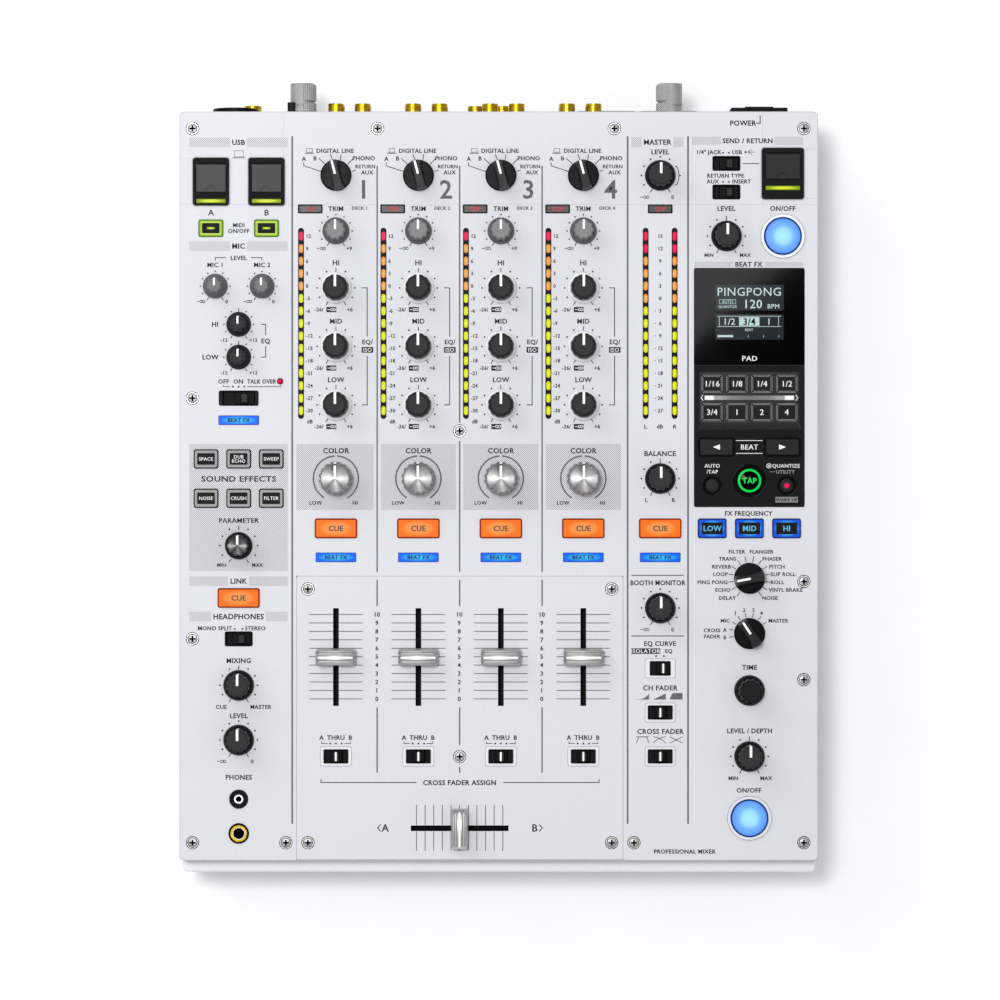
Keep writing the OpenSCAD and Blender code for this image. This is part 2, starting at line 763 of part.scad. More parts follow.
// A grip with sloping ends and a finger dip, on a flat metal lever. Drawn for travel along Y.
module fader(at, turn) {
    base = panel_top + 1;
    h = 10.5;
    half = cap_short / 2;
    translate([at[0], at[1], 0]) rotate(turn) {
        difference() {
            translate([-cap_long / 2, 0, base]) rotate([90, 0, 90]) linear_extrude(cap_long)
                polygon([[-half, 0], [half, 0], [half - 0.5, h - 1], [half - 1.4, h], [1.4 - half, h],
                         [0.5 - half, h - 1]]);
            for (s = [-1, 1]) translate([-cap_long, s * 3.2, base + h + 1.7]) rotate([0, 90, 0])
                cylinder(r = 2.6, h = 2 * cap_long);
        }
        block(1.4, 4.6, board_top + 4, base + 2);
    }
}

module crossfader() {
    color("silver") fader([cross_x, cross_y], 90);
}

module usb_lid(u) {
    hinge = lid_hinge(u);
    front = u[6] - u[5] / 2;
    difference() {
        union() {
            translate([u[0] - u[4] / 2, front, lid_z - lid_t / 2]) cube([u[4], hinge - front, lid_t]);
            translate([u[0] - u[4] / 2, hinge, lid_z]) rotate([0, 90, 0]) cylinder(r = lid_t / 2, h = u[4]);
            translate([u[0] - u[4] / 2 - 0.9, hinge, lid_z]) rotate([0, 90, 0])
                cylinder(r = lid_pin_r, h = u[4] + 1.8);
        }
        translate([u[0], front, lid_z + lid_t / 2]) rod(3.2, -0.7, 1);
    }
}

module usb_lids() {
    color("dimgray") for (u = USB_COMPUTER) usb_lid(u);
}

module send_usb_lid() {
    color("dimgray") for (u = USB_SEND) usb_lid(u);
}

// The rocker's two faces meet in a shallow valley over its pivot.
module power_rocker() {
    half = rocker_h / 2;
    rise = half * tan(rocker_dip);
    color("black") rear(switch_at) translate([0, 0, -3]) rotate([-rocker_dip, 0, 0]) translate([0, 0, 3]) {
        rotate([90, 0, 90]) translate([0, 0, -rocker_w / 2]) linear_extrude(rocker_w)
            polygon([[0, 1.2], [half, 1.2 + rise], [half - 0.6, -2], [5, -5.5], [-5, -5.5], [0.6 - half, -2],
                     [-half, 1.2 + rise]]);
        rocker_pivot(1, rocker_w / 2 + 0.9);
    }
}

module push_button(b) {
    round = b[3] == 0;
    ringed = round && b[2] > 9;
    top = panel_top + b[4];
    flange_top = panel_low - side_gap;
    stem_low = board_top + 4 + press + 0.3;
    translate([b[0], b[1], 0]) {
        if (round) rod(b[2] / 2, flange_top - 2, top);
        else slab(b[2], b[3], 1, flange_top - 2, top);
        if (round && !ringed) rod(b[2] / 2 + 1, flange_top - 1.5, flange_top);
        if (!round) slab(b[2] + 1.6, b[3] + 1.6, 1, flange_top - 1.5, flange_top);
        rod(1.8, stem_low, flange_top - 1.9);
    }
}

module push_buttons() {
    color("darkorange") for (b = CUE_BUTTONS) push_button(b);
    color("lightsteelblue") for (b = concat(SQUARE_BUTTONS, ROUND_BUTTONS, RINGED_BUTTONS)) push_button(b);
}

// A flat slider that stays in its window, with a narrow grip standing up from it.
module slider(s, travel) {
    w = s[2] - travel - 2 * side_gap;
    d = s[3] - 2 * side_gap;
    translate([s[0] + s[6], s[1], 0]) {
        slab(w, d, 0.6, panel_low - 4, panel_top - 0.9);
        slab(3.9, d - 1.4, 0.4, panel_top - 1, panel_top + 1.9);
    }
}

module three_way_switches() {
    color("black") for (s = THREE_WAY) slider(s, 2 * slide_step);
}

module two_way_switches() {
    color("black") for (s = TWO_WAY) slider(s, 2 * s[6]);
}

bottom_chassis();
top_panel();
fader_panel();
front_fascia();
rubber_feet();
screws();
sockets();
fx_panel();
circuit_boards();
panel_components();
for (i = [0:3])
    color("silver") fader([channels[i], fader_y], 0);
crossfader();
usb_lids();
send_usb_lid();
power_rocker();
push_buttons();
three_way_switches();
two_way_switches();
for (k = KNOBS)
    color(k[3] == "filter" ? "silver" : "dimgray") knob(k);
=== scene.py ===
import math

import bpy
from mathutils import Matrix, Vector


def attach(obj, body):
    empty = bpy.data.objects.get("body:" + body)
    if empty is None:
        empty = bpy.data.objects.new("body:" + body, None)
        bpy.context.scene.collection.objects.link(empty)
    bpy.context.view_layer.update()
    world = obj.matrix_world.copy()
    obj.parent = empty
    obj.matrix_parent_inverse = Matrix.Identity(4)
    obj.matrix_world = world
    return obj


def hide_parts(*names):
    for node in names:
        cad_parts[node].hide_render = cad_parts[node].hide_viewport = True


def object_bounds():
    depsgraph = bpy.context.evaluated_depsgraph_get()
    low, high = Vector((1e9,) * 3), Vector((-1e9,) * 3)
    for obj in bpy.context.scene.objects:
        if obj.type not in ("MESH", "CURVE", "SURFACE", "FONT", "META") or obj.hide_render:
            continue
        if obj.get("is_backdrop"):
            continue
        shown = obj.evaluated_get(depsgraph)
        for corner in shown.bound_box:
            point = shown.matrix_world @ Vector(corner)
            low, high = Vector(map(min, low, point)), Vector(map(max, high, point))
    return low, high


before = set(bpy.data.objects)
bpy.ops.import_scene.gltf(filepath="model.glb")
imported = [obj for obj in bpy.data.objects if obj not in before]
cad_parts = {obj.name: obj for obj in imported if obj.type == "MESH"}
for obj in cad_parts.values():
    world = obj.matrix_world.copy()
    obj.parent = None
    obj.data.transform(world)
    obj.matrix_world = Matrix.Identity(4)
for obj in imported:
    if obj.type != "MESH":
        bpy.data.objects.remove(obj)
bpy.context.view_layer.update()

# All sizes below are in millimetres, in the frame of the CAD model, until a mesh is made from them.
MM = 0.001
PANEL = 89.0
WALL = 190.0
INK = PANEL + 0.05
CHANNELS = [-84.9 + 43.0 * i for i in range(4)]
MASTER_X = 84.2
LEFT_X = -135.6
FX_X = 130.7
COLUMNS = CHANNELS + [MASTER_X]
DIVIDERS = [-107.7, -63.4, -20.4, 22.6, 67.2, 98.7]


# ---------------------------------------------------------------- materials

class Paint:
    """One procedural material, built up around a Principled shader."""

    def __init__(self, name, rough=0.4, metallic=0.0, coat=0.0, specular=0.5, sheen=0.0, anisotropic=0.0):
        self.mat = bpy.data.materials.new(name)
        self.mat.use_nodes = True
        self.tree = self.mat.node_tree
        self.bsdf = self.tree.nodes["Principled BSDF"]
        self.set("Roughness", rough)
        self.set("Metallic", metallic)
        self.set("Coat Weight", coat)
        self.set("Coat Roughness", 0.08)
        self.set("Specular IOR Level", specular)
        self.set("Sheen Weight", sheen)
        self.set("Anisotropic", anisotropic)

    def set(self, name, value):
        self.bsdf.inputs[name].default_value = value

    def node(self, kind, **inputs):
        made = self.tree.nodes.new(kind)
        for name, value in inputs.items():
            if hasattr(made, name) and name not in made.inputs:
                setattr(made, name, value)
        return made

    def link(self, source, target):
        self.tree.links.new(source, target)

    def coords(self, scale=(1, 1, 1), uv=False, turn=0.0):
        """Object coordinates in millimetres, or the piece's own UV."""
        tc = self.node("ShaderNodeTexCoord")
        mapping = self.node("ShaderNodeMapping")
        size = 1.0 if uv else 1000.0
        mapping.inputs["Scale"].default_value = [size * s for s in scale]
        mapping.inputs["Rotation"].default_value = (0, 0, turn)
        self.link(tc.outputs["UV" if uv else "Object"], mapping.inputs["Vector"])
        return mapping.outputs["Vector"]

    def noise(self, scale, stretch=(1, 1, 1), detail=2.0, rough=0.5):
        tex = self.node("ShaderNodeTexNoise")
        tex.inputs["Scale"].default_value = scale
        tex.inputs["Detail"].default_value = detail
        tex.inputs["Roughness"].default_value = rough
        self.link(self.coords(stretch), tex.inputs["Vector"])
        return tex.outputs["Fac"]

    def ramp(self, fac, stops, smooth=False):
        made = self.node("ShaderNodeValToRGB")
        made.color_ramp.interpolation = "EASE" if smooth else "LINEAR"
        elements = made.color_ramp.elements
        while len(elements) < len(stops):
            elements.new(0.5)
        for element, (at, colour) in zip(elements, stops):
            element.position = at
            element.color = (*colour, 1.0)
        self.link(fac, made.inputs["Fac"])
        return made.outputs["Color"]

    def math(self, kind, a, b=None):
        made = self.node("ShaderNodeMath")
        made.operation = kind
        for slot, value in zip(made.inputs, (a, b)):
            if value is None:
                continue
            if isinstance(value, (int, float)):
                slot.default_value = value
            else:
                self.link(value, slot)
        return made.outputs[0]

    def range(self, fac, low, high):
        made = self.node("ShaderNodeMapRange")
        made.inputs["To Min"].default_value = low
        made.inputs["To Max"].default_value = high
        self.link(fac, made.inputs["Value"])
        return made.outputs["Result"]

    def colour(self, output):
        self.link(output, self.bsdf.inputs["Base Color"])

    def grain(self, colour, scale=0.5, spread=0.06, rough=0.08, bump=0.02, stretch=(1, 1, 1), depth=0.0001):
        """A colour that wanders a little, with the roughness and a fine bump."""
        fac = self.noise(scale, stretch, 4.0)
        dark = [c * (1 - spread) for c in colour]
        light = [min(1.0, c * (1 + spread)) for c in colour]
        self.colour(self.ramp(fac, [(0.3, dark), (0.7, light)]))
        base = self.bsdf.inputs["Roughness"].default_value
        self.link(self.range(fac, max(0.02, base - rough), base + rough), self.bsdf.inputs["Roughness"])
        bumped = self.node("ShaderNodeBump")
        bumped.inputs["Strength"].default_value = bump
        bumped.inputs["Distance"].default_value = depth
        self.link(self.noise(scale * 3, stretch), bumped.inputs["Height"])
        self.link(bumped.outputs["Normal"], self.bsdf.inputs["Normal"])
        return self

    def uv_distance(self, box=False):
        """Distance from the middle of a piece whose UV runs from -1 to 1."""
        split = self.node("ShaderNodeSeparateXYZ")
        self.link(self.coords(uv=True), split.inputs[0])
        u = self.math("ABSOLUTE", split.outputs[0])
        v = self.math("ABSOLUTE", split.outputs[1])
        if box:
            return self.math("MAXIMUM", u, v)
        squares = self.math("ADD", self.math("MULTIPLY", u, u), self.math("MULTIPLY", v, v))
        return self.math("SQRT", squares)

    def glow(self, fac, stops, strength, tint=0.1):
        """Plastic lit from behind: the same ramp colours the surface and its light."""
        ramp = self.ramp(fac, stops, smooth=True)
        self.link(ramp, self.bsdf.inputs["Emission Color"])
        self.set("Emission Strength", strength)
        self.colour(self.ramp(fac, [(at, [c * tint for c in colour]) for at, colour in stops], smooth=True))
        return self


def white_paint(name, colour, rough=0.46):
    """Satin white paint with fine bright flakes."""
    paint = Paint(name, rough=rough, specular=0.52)
    flakes = paint.node("ShaderNodeTexVoronoi")
    flakes.inputs["Scale"].default_value = 2.2
    paint.link(paint.coords(), flakes.inputs["Vector"])
    speck = paint.math("MULTIPLY", paint.noise(1.7, detail=1.0), flakes.outputs["Distance"])
    tone = [[c * k for c in colour] for k in (0.965, 1.0, 1.035)]
    paint.colour(paint.ramp(speck, [(0.05, tone[0]), (0.25, tone[1]), (0.5, tone[2])]))
    paint.link(paint.range(paint.noise(0.9), rough - 0.06, rough + 0.06), paint.bsdf.inputs["Roughness"])
    bumped = paint.node("ShaderNodeBump")
    bumped.inputs["Strength"].default_value = 0.05
    bumped.inputs["Distance"].default_value = 0.00005
    paint.link(paint.noise(1.3, detail=3.0), bumped.inputs["Height"])
    paint.link(bumped.outputs["Normal"], paint.bsdf.inputs["Normal"])
    return paint


WHITE = (0.6, 0.606, 0.634)
M = {}
M["panel"] = white_paint("panel_paint", WHITE).mat
M["chassis"] = white_paint("chassis_paint", (0.62, 0.63, 0.655), 0.45).mat
# The fascia white is set lighter than the panel white to make up for the shade under the panel's front lip:
# painted light.
M["fascia"] = white_paint("fascia_paint_brightened", (0.74, 0.75, 0.775), 0.33).mat


def halftone():
    """White paint printed with staggered grey dots."""
    paint = white_paint("halftone_print", WHITE)
    split = paint.node("ShaderNodeSeparateXYZ")
    paint.link(paint.coords((1.36, 1.36, 1), turn=math.radians(45)), split.inputs[0])
    across = [paint.math("ABSOLUTE", paint.math("SUBTRACT", paint.math("FRACT", split.outputs[i]), 0.5))
              for i in range(2)]
    squares = [paint.math("MULTIPLY", a, a) for a in across]
    distance = paint.math("SQRT", paint.math("ADD", *squares))
    dots = paint.ramp(distance, [(0.28, (0.2, 0.2, 0.21)), (0.38, WHITE)])
    paint.colour(dots)
    return paint.mat


M["halftone"] = halftone()
M["ink"] = Paint("dark_ink", rough=0.5, specular=0.1).grain((0.02, 0.02, 0.023), 0.8, 0.12).mat
M["ink_soft"] = Paint("grey_ink", rough=0.5, specular=0.1).grain((0.12, 0.12, 0.128), 0.8, 0.1).mat
M["ink_pale"] = Paint("pale_grey_ink", rough=0.5, specular=0.1).grain((0.22, 0.22, 0.225), 0.8, 0.06).mat
M["ink_white"] = Paint("white_ink", rough=0.45).grain((0.78, 0.78, 0.78), 0.8, 0.05).mat
M["black"] = Paint("black_plastic", rough=0.4, specular=0.05).grain((0.004, 0.004, 0.0045), 0.35, 0.2).mat
M["black_matt"] = Paint("matt_black_plastic", rough=0.6, specular=0.08).grain((0.006, 0.006, 0.0065),
                                                                              0.6, 0.2,
                                                                              bump=0.06).mat
# Near-black used as painted shade in grooves, recesses and gaps. It is also the real black of a few parts, such
# as the TAP ring and dark display digits.
M["pit"] = Paint("painted_shade_and_black", rough=0.8, specular=0.05).grain((0.002, 0.002, 0.002), 0.6, 0.3).mat
M["gloss"] = Paint("gloss_black", rough=0.05, specular=0.022).grain((0.0003, 0.0003, 0.0004), 0.05, 0.2,
                                                                    rough=0.02).mat
M["pad"] = Paint("pad_surface", rough=0.32, specular=0.1).grain((0.007, 0.007, 0.0075), 0.5, 0.12).mat
M["fx_low"] = Paint("effects_frame", rough=0.42, specular=0.04).grain((0.005, 0.005, 0.0054), 0.5, 0.15,
                                                                      bump=0.05).mat
M["knob_top"] = Paint("knob_cap", rough=0.5, specular=0.12).grain((0.021, 0.021, 0.022), 0.4, 0.1,
                                                                  bump=0.04).mat
M["knob_skirt"] = Paint("knob_skirt", rough=0.35, specular=0.07).grain((0.004, 0.004, 0.0045), 0.4, 0.15).mat
M["knob_gloss"] = Paint("selector_gloss", rough=0.3, specular=0.035).grain((0.002, 0.002, 0.0025), 0.3,
                                                                           0.15).mat
M["knob_bar"] = Paint("selector_bar", rough=0.35, specular=0.1).grain((0.007, 0.007, 0.008), 0.3, 0.12).mat
M["grey_top"] = Paint("grey_knob_cap", rough=0.5, specular=0.2).grain((0.2, 0.2, 0.2), 0.4, 0.05,
                                                                      bump=0.04).mat
M["grey_skirt"] = Paint("grey_knob_skirt", rough=0.42, specular=0.2).grain((0.085, 0.085, 0.087), 0.4,
                                                                           0.08).mat
M["mic_top"] = Paint("mic_knob_cap", rough=0.5, specular=0.2).grain((0.15, 0.15, 0.152), 0.4, 0.06,
                                                                    bump=0.04).mat
M["mic_skirt"] = Paint("mic_knob_skirt", rough=0.42, specular=0.2).grain((0.1, 0.1, 0.102), 0.4, 0.08).mat
M["white_line"] = Paint("pointer_white", rough=0.4).grain((0.8, 0.8, 0.8), 0.8, 0.03).mat
M["collar"] = Paint("silver_collar", rough=0.35).grain((0.86, 0.86, 0.855), 0.5, 0.05).mat
M["steel"] = Paint("steel", rough=0.35, metallic=1.0).grain((0.48, 0.48, 0.47), 0.9, 0.12).mat
M["screw_face"] = Paint("screw_face", rough=0.4, metallic=0.6).grain((0.33, 0.33, 0.325), 0.9, 0.12).mat
# The screw rim is the face's steel painted darker: painted shade on the sloping rim.
M["screw_rim"] = Paint("screw_rim", rough=0.45, metallic=0.6).grain((0.12, 0.12, 0.12), 0.9, 0.12).mat
M["gold"] = Paint("gold_plate", rough=0.22, metallic=1.0).grain((0.42, 0.27, 0.012), 0.9, 0.1).mat
M["nickel"] = Paint("nickel", rough=0.3, metallic=1.0).grain((0.42, 0.42, 0.41), 0.9, 0.08).mat
M["rubber"] = Paint("rubber", rough=0.75, specular=0.3).grain((0.02, 0.02, 0.02), 0.6, 0.2, bump=0.15).mat
M["lid"] = Paint("lid_plastic", rough=0.52, specular=0.15).grain((0.06, 0.06, 0.06), 0.5, 0.06, bump=0.06).mat
M["slider"] = Paint("slider_plastic", rough=0.45, specular=0.05).grain((0.003, 0.003, 0.003), 0.5, 0.15).mat
# Dark grey for the slider grips, also used for painted highlights: arcs on the dark button rings and a thin
# line round the effects panel.
M["grip"] = Paint("grip_plastic_and_painted_highlight", rough=0.42, specular=0.1).grain((0.014, 0.014, 0.014), 0.5, 0.12).mat
M["bezel"] = Paint("bezel_plastic", rough=0.35).grain((0.66, 0.66, 0.69), 0.5, 0.03).mat
# Mid grey drawn as thin lines where panels, bezels and frames meet: painted shade at edges and seams.
M["bezel_edge"] = Paint("bezel_edge", rough=0.4).grain((0.36, 0.36, 0.39), 0.5, 0.05).mat
M["board"] = Paint("board", rough=0.4).grain((0.02, 0.12, 0.05), 0.3, 0.2).mat
M["parts"] = Paint("component_plastic", rough=0.55, specular=0.1).grain((0.008, 0.008, 0.009), 0.4, 0.2).mat
M["screen"] = Paint("display_glass", rough=0.1, specular=0.04).grain((0.006, 0.011, 0.014), 0.1, 0.2,
                                                                     rough=0.02).mat


def brushed():
    paint = Paint("brushed_silver", rough=0.42, metallic=0.6)
    paint.grain((0.4, 0.4, 0.39), 1.2, 0.14, rough=0.06, bump=0.12, stretch=(0.06, 1, 1))
    return paint.mat


def spun(name, tones, rough=0.42):
    """Metal turned on a lathe, with painted reflections: bright and dark fans about the middle are painted into
    its colour.
    """
    paint = Paint(name, rough=rough, metallic=0.3, specular=0.2)
    painted_fan = paint.node("ShaderNodeTexGradient")
    painted_fan.gradient_type = "RADIAL"
    paint.link(paint.coords(uv=True), painted_fan.inputs["Vector"])
    stops = list(zip((0.0, 0.07, 0.13, 0.2, 0.28, 0.36, 0.42, 0.5, 0.57, 0.66, 0.78, 0.88, 0.93, 1.0), tones))
    paint.colour(paint.ramp(painted_fan.outputs["Fac"], [(at, (t, t, t * 0.99)) for at, t in stops]))
    rings = paint.node("ShaderNodeBump")
    rings.inputs["Strength"].default_value = 0.1
    rings.inputs["Distance"].default_value = 0.00003
    wave = paint.node("ShaderNodeTexWave")
    wave.wave_type = "RINGS"
    wave.rings_direction = "Z"
    wave.inputs["Scale"].default_value = 9.0
    paint.link(paint.coords(uv=True), wave.inputs["Vector"])
    paint.link(wave.outputs["Fac"], rings.inputs["Height"])
    paint.link(rings.outputs["Normal"], paint.bsdf.inputs["Normal"])
    return paint.mat


# Tones of the painted reflection: bright and dark fans that stand in for the sheen of turned metal.
PAINTED_SHEEN_FAN = (0.95, 0.5, 0.2, 0.3, 0.62, 0.2, 0.5, 0.95, 0.4, 0.3, 0.08, 0.3, 0.5, 0.95)
M["brushed"] = brushed()
M["spun"] = spun("spun_silver_painted_sheen", [t * 0.8 for t in PAINTED_SHEEN_FAN])
M["filter_rim"] = Paint("filter_rim", rough=0.35, metallic=0.85).grain((0.3, 0.3, 0.295), 0.8, 0.1).mat
M["spun_dark"] = spun("spun_black_painted_sheen", [t * t * 0.3 for t in PAINTED_SHEEN_FAN])


def knurled():
    """Diamond knurling cut by two crossed sets of slanting grooves; the grooves are painted dark and the ridges
    light, as painted shade and highlight.
    """
    paint = Paint("knurled_steel_painted_shade", rough=0.4, metallic=0.9)
    waves = []
    for side in (1, -1):
        wave = paint.node("ShaderNodeTexWave")
        wave.bands_direction = "X"
        wave.inputs["Scale"].default_value = 0.42
        paint.link(paint.coords((1, 1, 1), turn=side * math.radians(38)), wave.inputs["Vector"])
        waves.append(wave.outputs["Fac"])
    height = paint.math("MULTIPLY", *waves)
    # Painted shade in the grooves and painted highlight on the ridges.
    paint.colour(paint.ramp(height, [(0.05, (0.22, 0.22, 0.22)), (0.6, (0.68, 0.68, 0.67))]))
    cut = paint.node("ShaderNodeBump")
    cut.inputs["Strength"].default_value = 0.6
    cut.inputs["Distance"].default_value = 0.0003
    paint.link(height, cut.inputs["Height"])
    paint.link(cut.outputs["Normal"], paint.bsdf.inputs["Normal"])
    return paint.mat


M["knurl"] = knurled()

ORANGE = [(0.0, (1.0, 0.37, 0.09)), (0.5, (1.0, 0.31, 0.055)), (0.9, (1.0, 0.18, 0.006))]
BLUE = [(0.0, (0.4, 0.82, 1.0)), (0.3, (0.34, 0.75, 1.0)), (0.75, (0.15, 0.4, 0.97)),
        (1.0, (0.1, 0.28, 0.85))]
LAMP = [(0.0, (0.04, 0.52, 1.0)), (0.6, (0.015, 0.36, 1.0)), (1.0, (0.0, 0.13, 0.9))]


def lit(name, stops, strength, box=False, rough=0.3):
    paint = Paint(name, rough=rough, specular=0.05)
    return paint.glow(paint.uv_distance(box), stops, strength).mat


M["orange"] = lit("cue_glow", ORANGE, 0.85)
M["orange_edge"] = lit("cue_edge", [(0, (0.75, 0.09, 0.005)), (1, (0.5, 0.03, 0.0))], 0.6)
M["blue"] = lit("round_glow", BLUE, 0.97)
M["blue_edge"] = lit("round_edge", [(0, (0.01, 0.05, 0.4)), (1, (0.01, 0.05, 0.35))], 0.4)
M["lamp"] = lit("lamp_glow", LAMP, 0.97)
M["band_ring"] = lit("band_ring", [(0, (0.06, 0.42, 1.0)), (0.75, (0.05, 0.35, 1.0)), (1, (0.0, 0.1,
                                                                                           0.8))], 0.8)
M["lime_ring"] = lit("lime_ring", [(0, (0.8, 0.95, 0.12)), (0.72, (0.75, 0.92, 0.1)), (1, (0.25, 0.5,
                                                                                           0.02))], 0.8,
                     box=True)
M["usb_lamp"] = lit("usb_lamp", [(0, (0.85, 0.95, 0.06)), (0.4, (0.72, 0.83, 0.03)), (1, (0.24, 0.36,
                                                                                          0.0))], 0.85)
M["red_led"] = lit("red_led", [(0, (1.0, 0.01, 0.1)), (1, (0.8, 0.0, 0.08))], 0.85)
M["orange_led"] = lit("orange_led", [(0, (1.0, 0.5, 0.14)), (1, (0.85, 0.32, 0.05))], 0.85)
M["yellow_led"] = lit("yellow_led", [(0, (0.9, 0.95, 0.01)), (1, (0.66, 0.72, 0.0))], 0.88)
M["red_text"] = lit("red_text", [(0, (0.75, 0.03, 0.03)), (1, (0.75, 0.03, 0.03))], 0.8)
M["green"] = lit("green_glow", [(0, (0.0, 0.8, 0.1)), (1, (0.0, 0.7, 0.09))], 0.9)
M["lid_dark"] = Paint("dark_lid_plastic", rough=0.5, specular=0.1).grain((0.02, 0.02, 0.0205), 0.5, 0.08,
                                                                         bump=0.06).mat
M["pad_key"] = Paint("pad_key", rough=0.4, specular=0.06).grain((0.006, 0.006, 0.0064), 0.5, 0.15).mat
M["pad_bevel"] = Paint("pad_bevel", rough=0.3, specular=0.2).grain((0.006, 0.006, 0.0065), 0.5, 0.15).mat
M["button_top"] = Paint("button_top", rough=0.45, specular=0.08).grain((0.012, 0.012, 0.0125), 0.5, 0.12).mat
M["dash"] = Paint("dash_print", rough=0.5).grain((0.42, 0.42, 0.42), 0.8, 0.06).mat
M["rca_red"] = Paint("red_insulator", rough=0.4).grain((0.5, 0.02, 0.02), 0.6, 0.1).mat
M["clip_window"] = Paint("clip_window", rough=0.3, specular=0.15).grain((0.035, 0.035, 0.036), 0.4, 0.1).mat
M["cue_ink"] = Paint("cue_ink", rough=0.5).grain((0.06, 0.03, 0.015), 0.8, 0.1).mat
M["lime_edge"] = lit("lime_edge", [(0, (0.1, 0.3, 0.0)), (1, (0.14, 0.36, 0.01))], 0.7)
M["lamp_edge"] = lit("lamp_edge", [(0, (0.0, 0.06, 0.6)), (1, (0.0, 0.05, 0.62))], 0.5)
M["cyan_text"] = lit("band_text", [(0, (0.12, 0.5, 0.8)), (1, (0.1, 0.45, 0.8))], 0.8)
M["oled"] = lit("display_text", [(0, (0.62, 0.8, 0.8)), (1, (0.55, 0.75, 0.76))], 0.8)
M["key_ring"] = Paint("key_ring", rough=0.4, specular=0.1).grain((0.3, 0.3, 0.295), 0.5, 0.08).mat
M["ring_gloss"] = Paint("ring_gloss", rough=0.16, specular=0.12).grain((0.004, 0.004, 0.0045), 0.4, 0.1).mat
M["clear_ring"] = Paint("clear_ring", rough=0.25).grain((0.66, 0.69, 0.74), 0.6, 0.04).mat


def pad_light():
    """A translucent strip that is white at its ends."""
    paint = Paint("strip_light", rough=0.35)
    split = paint.node("ShaderNodeSeparateXYZ")
    paint.link(paint.coords(uv=True), split.inputs[0])
    fac = paint.math("ABSOLUTE", split.outputs[0])
    stops = [(0.0, (0.035, 0.035, 0.035)), (0.35, (0.09, 0.09, 0.09)), (0.78, (0.28, 0.28, 0.28)),
             (0.81, (0.9, 0.9, 0.9)), (1.0, (0.9, 0.9, 0.9))]
    return paint.glow(fac, stops, 0.8).mat


M["strip"] = pad_light()


# ---------------------------------------------------------------- meshes

def circle(r, n=48, flutes=0, depth=0.0, phase=0.0):
    """A circle, or a scalloped one with that many shallow hollows."""
    points = []
    for i in range(n):
        a = 2 * math.pi * i / n
        cut = depth * (0.5 + 0.5 * math.cos(flutes * a + phase)) ** 1.5 if flutes else 0.0
        points.append(((r - cut) * math.sin(a), (r - cut) * math.cos(a)))
    return points[::-1]


def rounded(w, d, r, n=4):
    points = []
    for quarter, (sx, sy) in enumerate(((1, 1), (-1, 1), (-1, -1), (1, -1))):
        cx, cy = sx * (w / 2 - r), sy * (d / 2 - r)
        for i in range(n + 1):
            a = math.pi / 2 * (quarter + i / n)
            points.append((cx + r * math.cos(a), cy + r * math.sin(a)))
    return points


def rear(x, z):
    """Turns a piece drawn upwards so that it points out of the rear wall."""
    return Matrix.Translation((x, WALL, z)) @ Matrix.Rotation(math.radians(-90), 4, "X")


def at(x, y, z=0.0, turn=0.0):
    return Matrix.Translation((x, y, z)) @ Matrix.Rotation(math.radians(turn), 4, "Z")


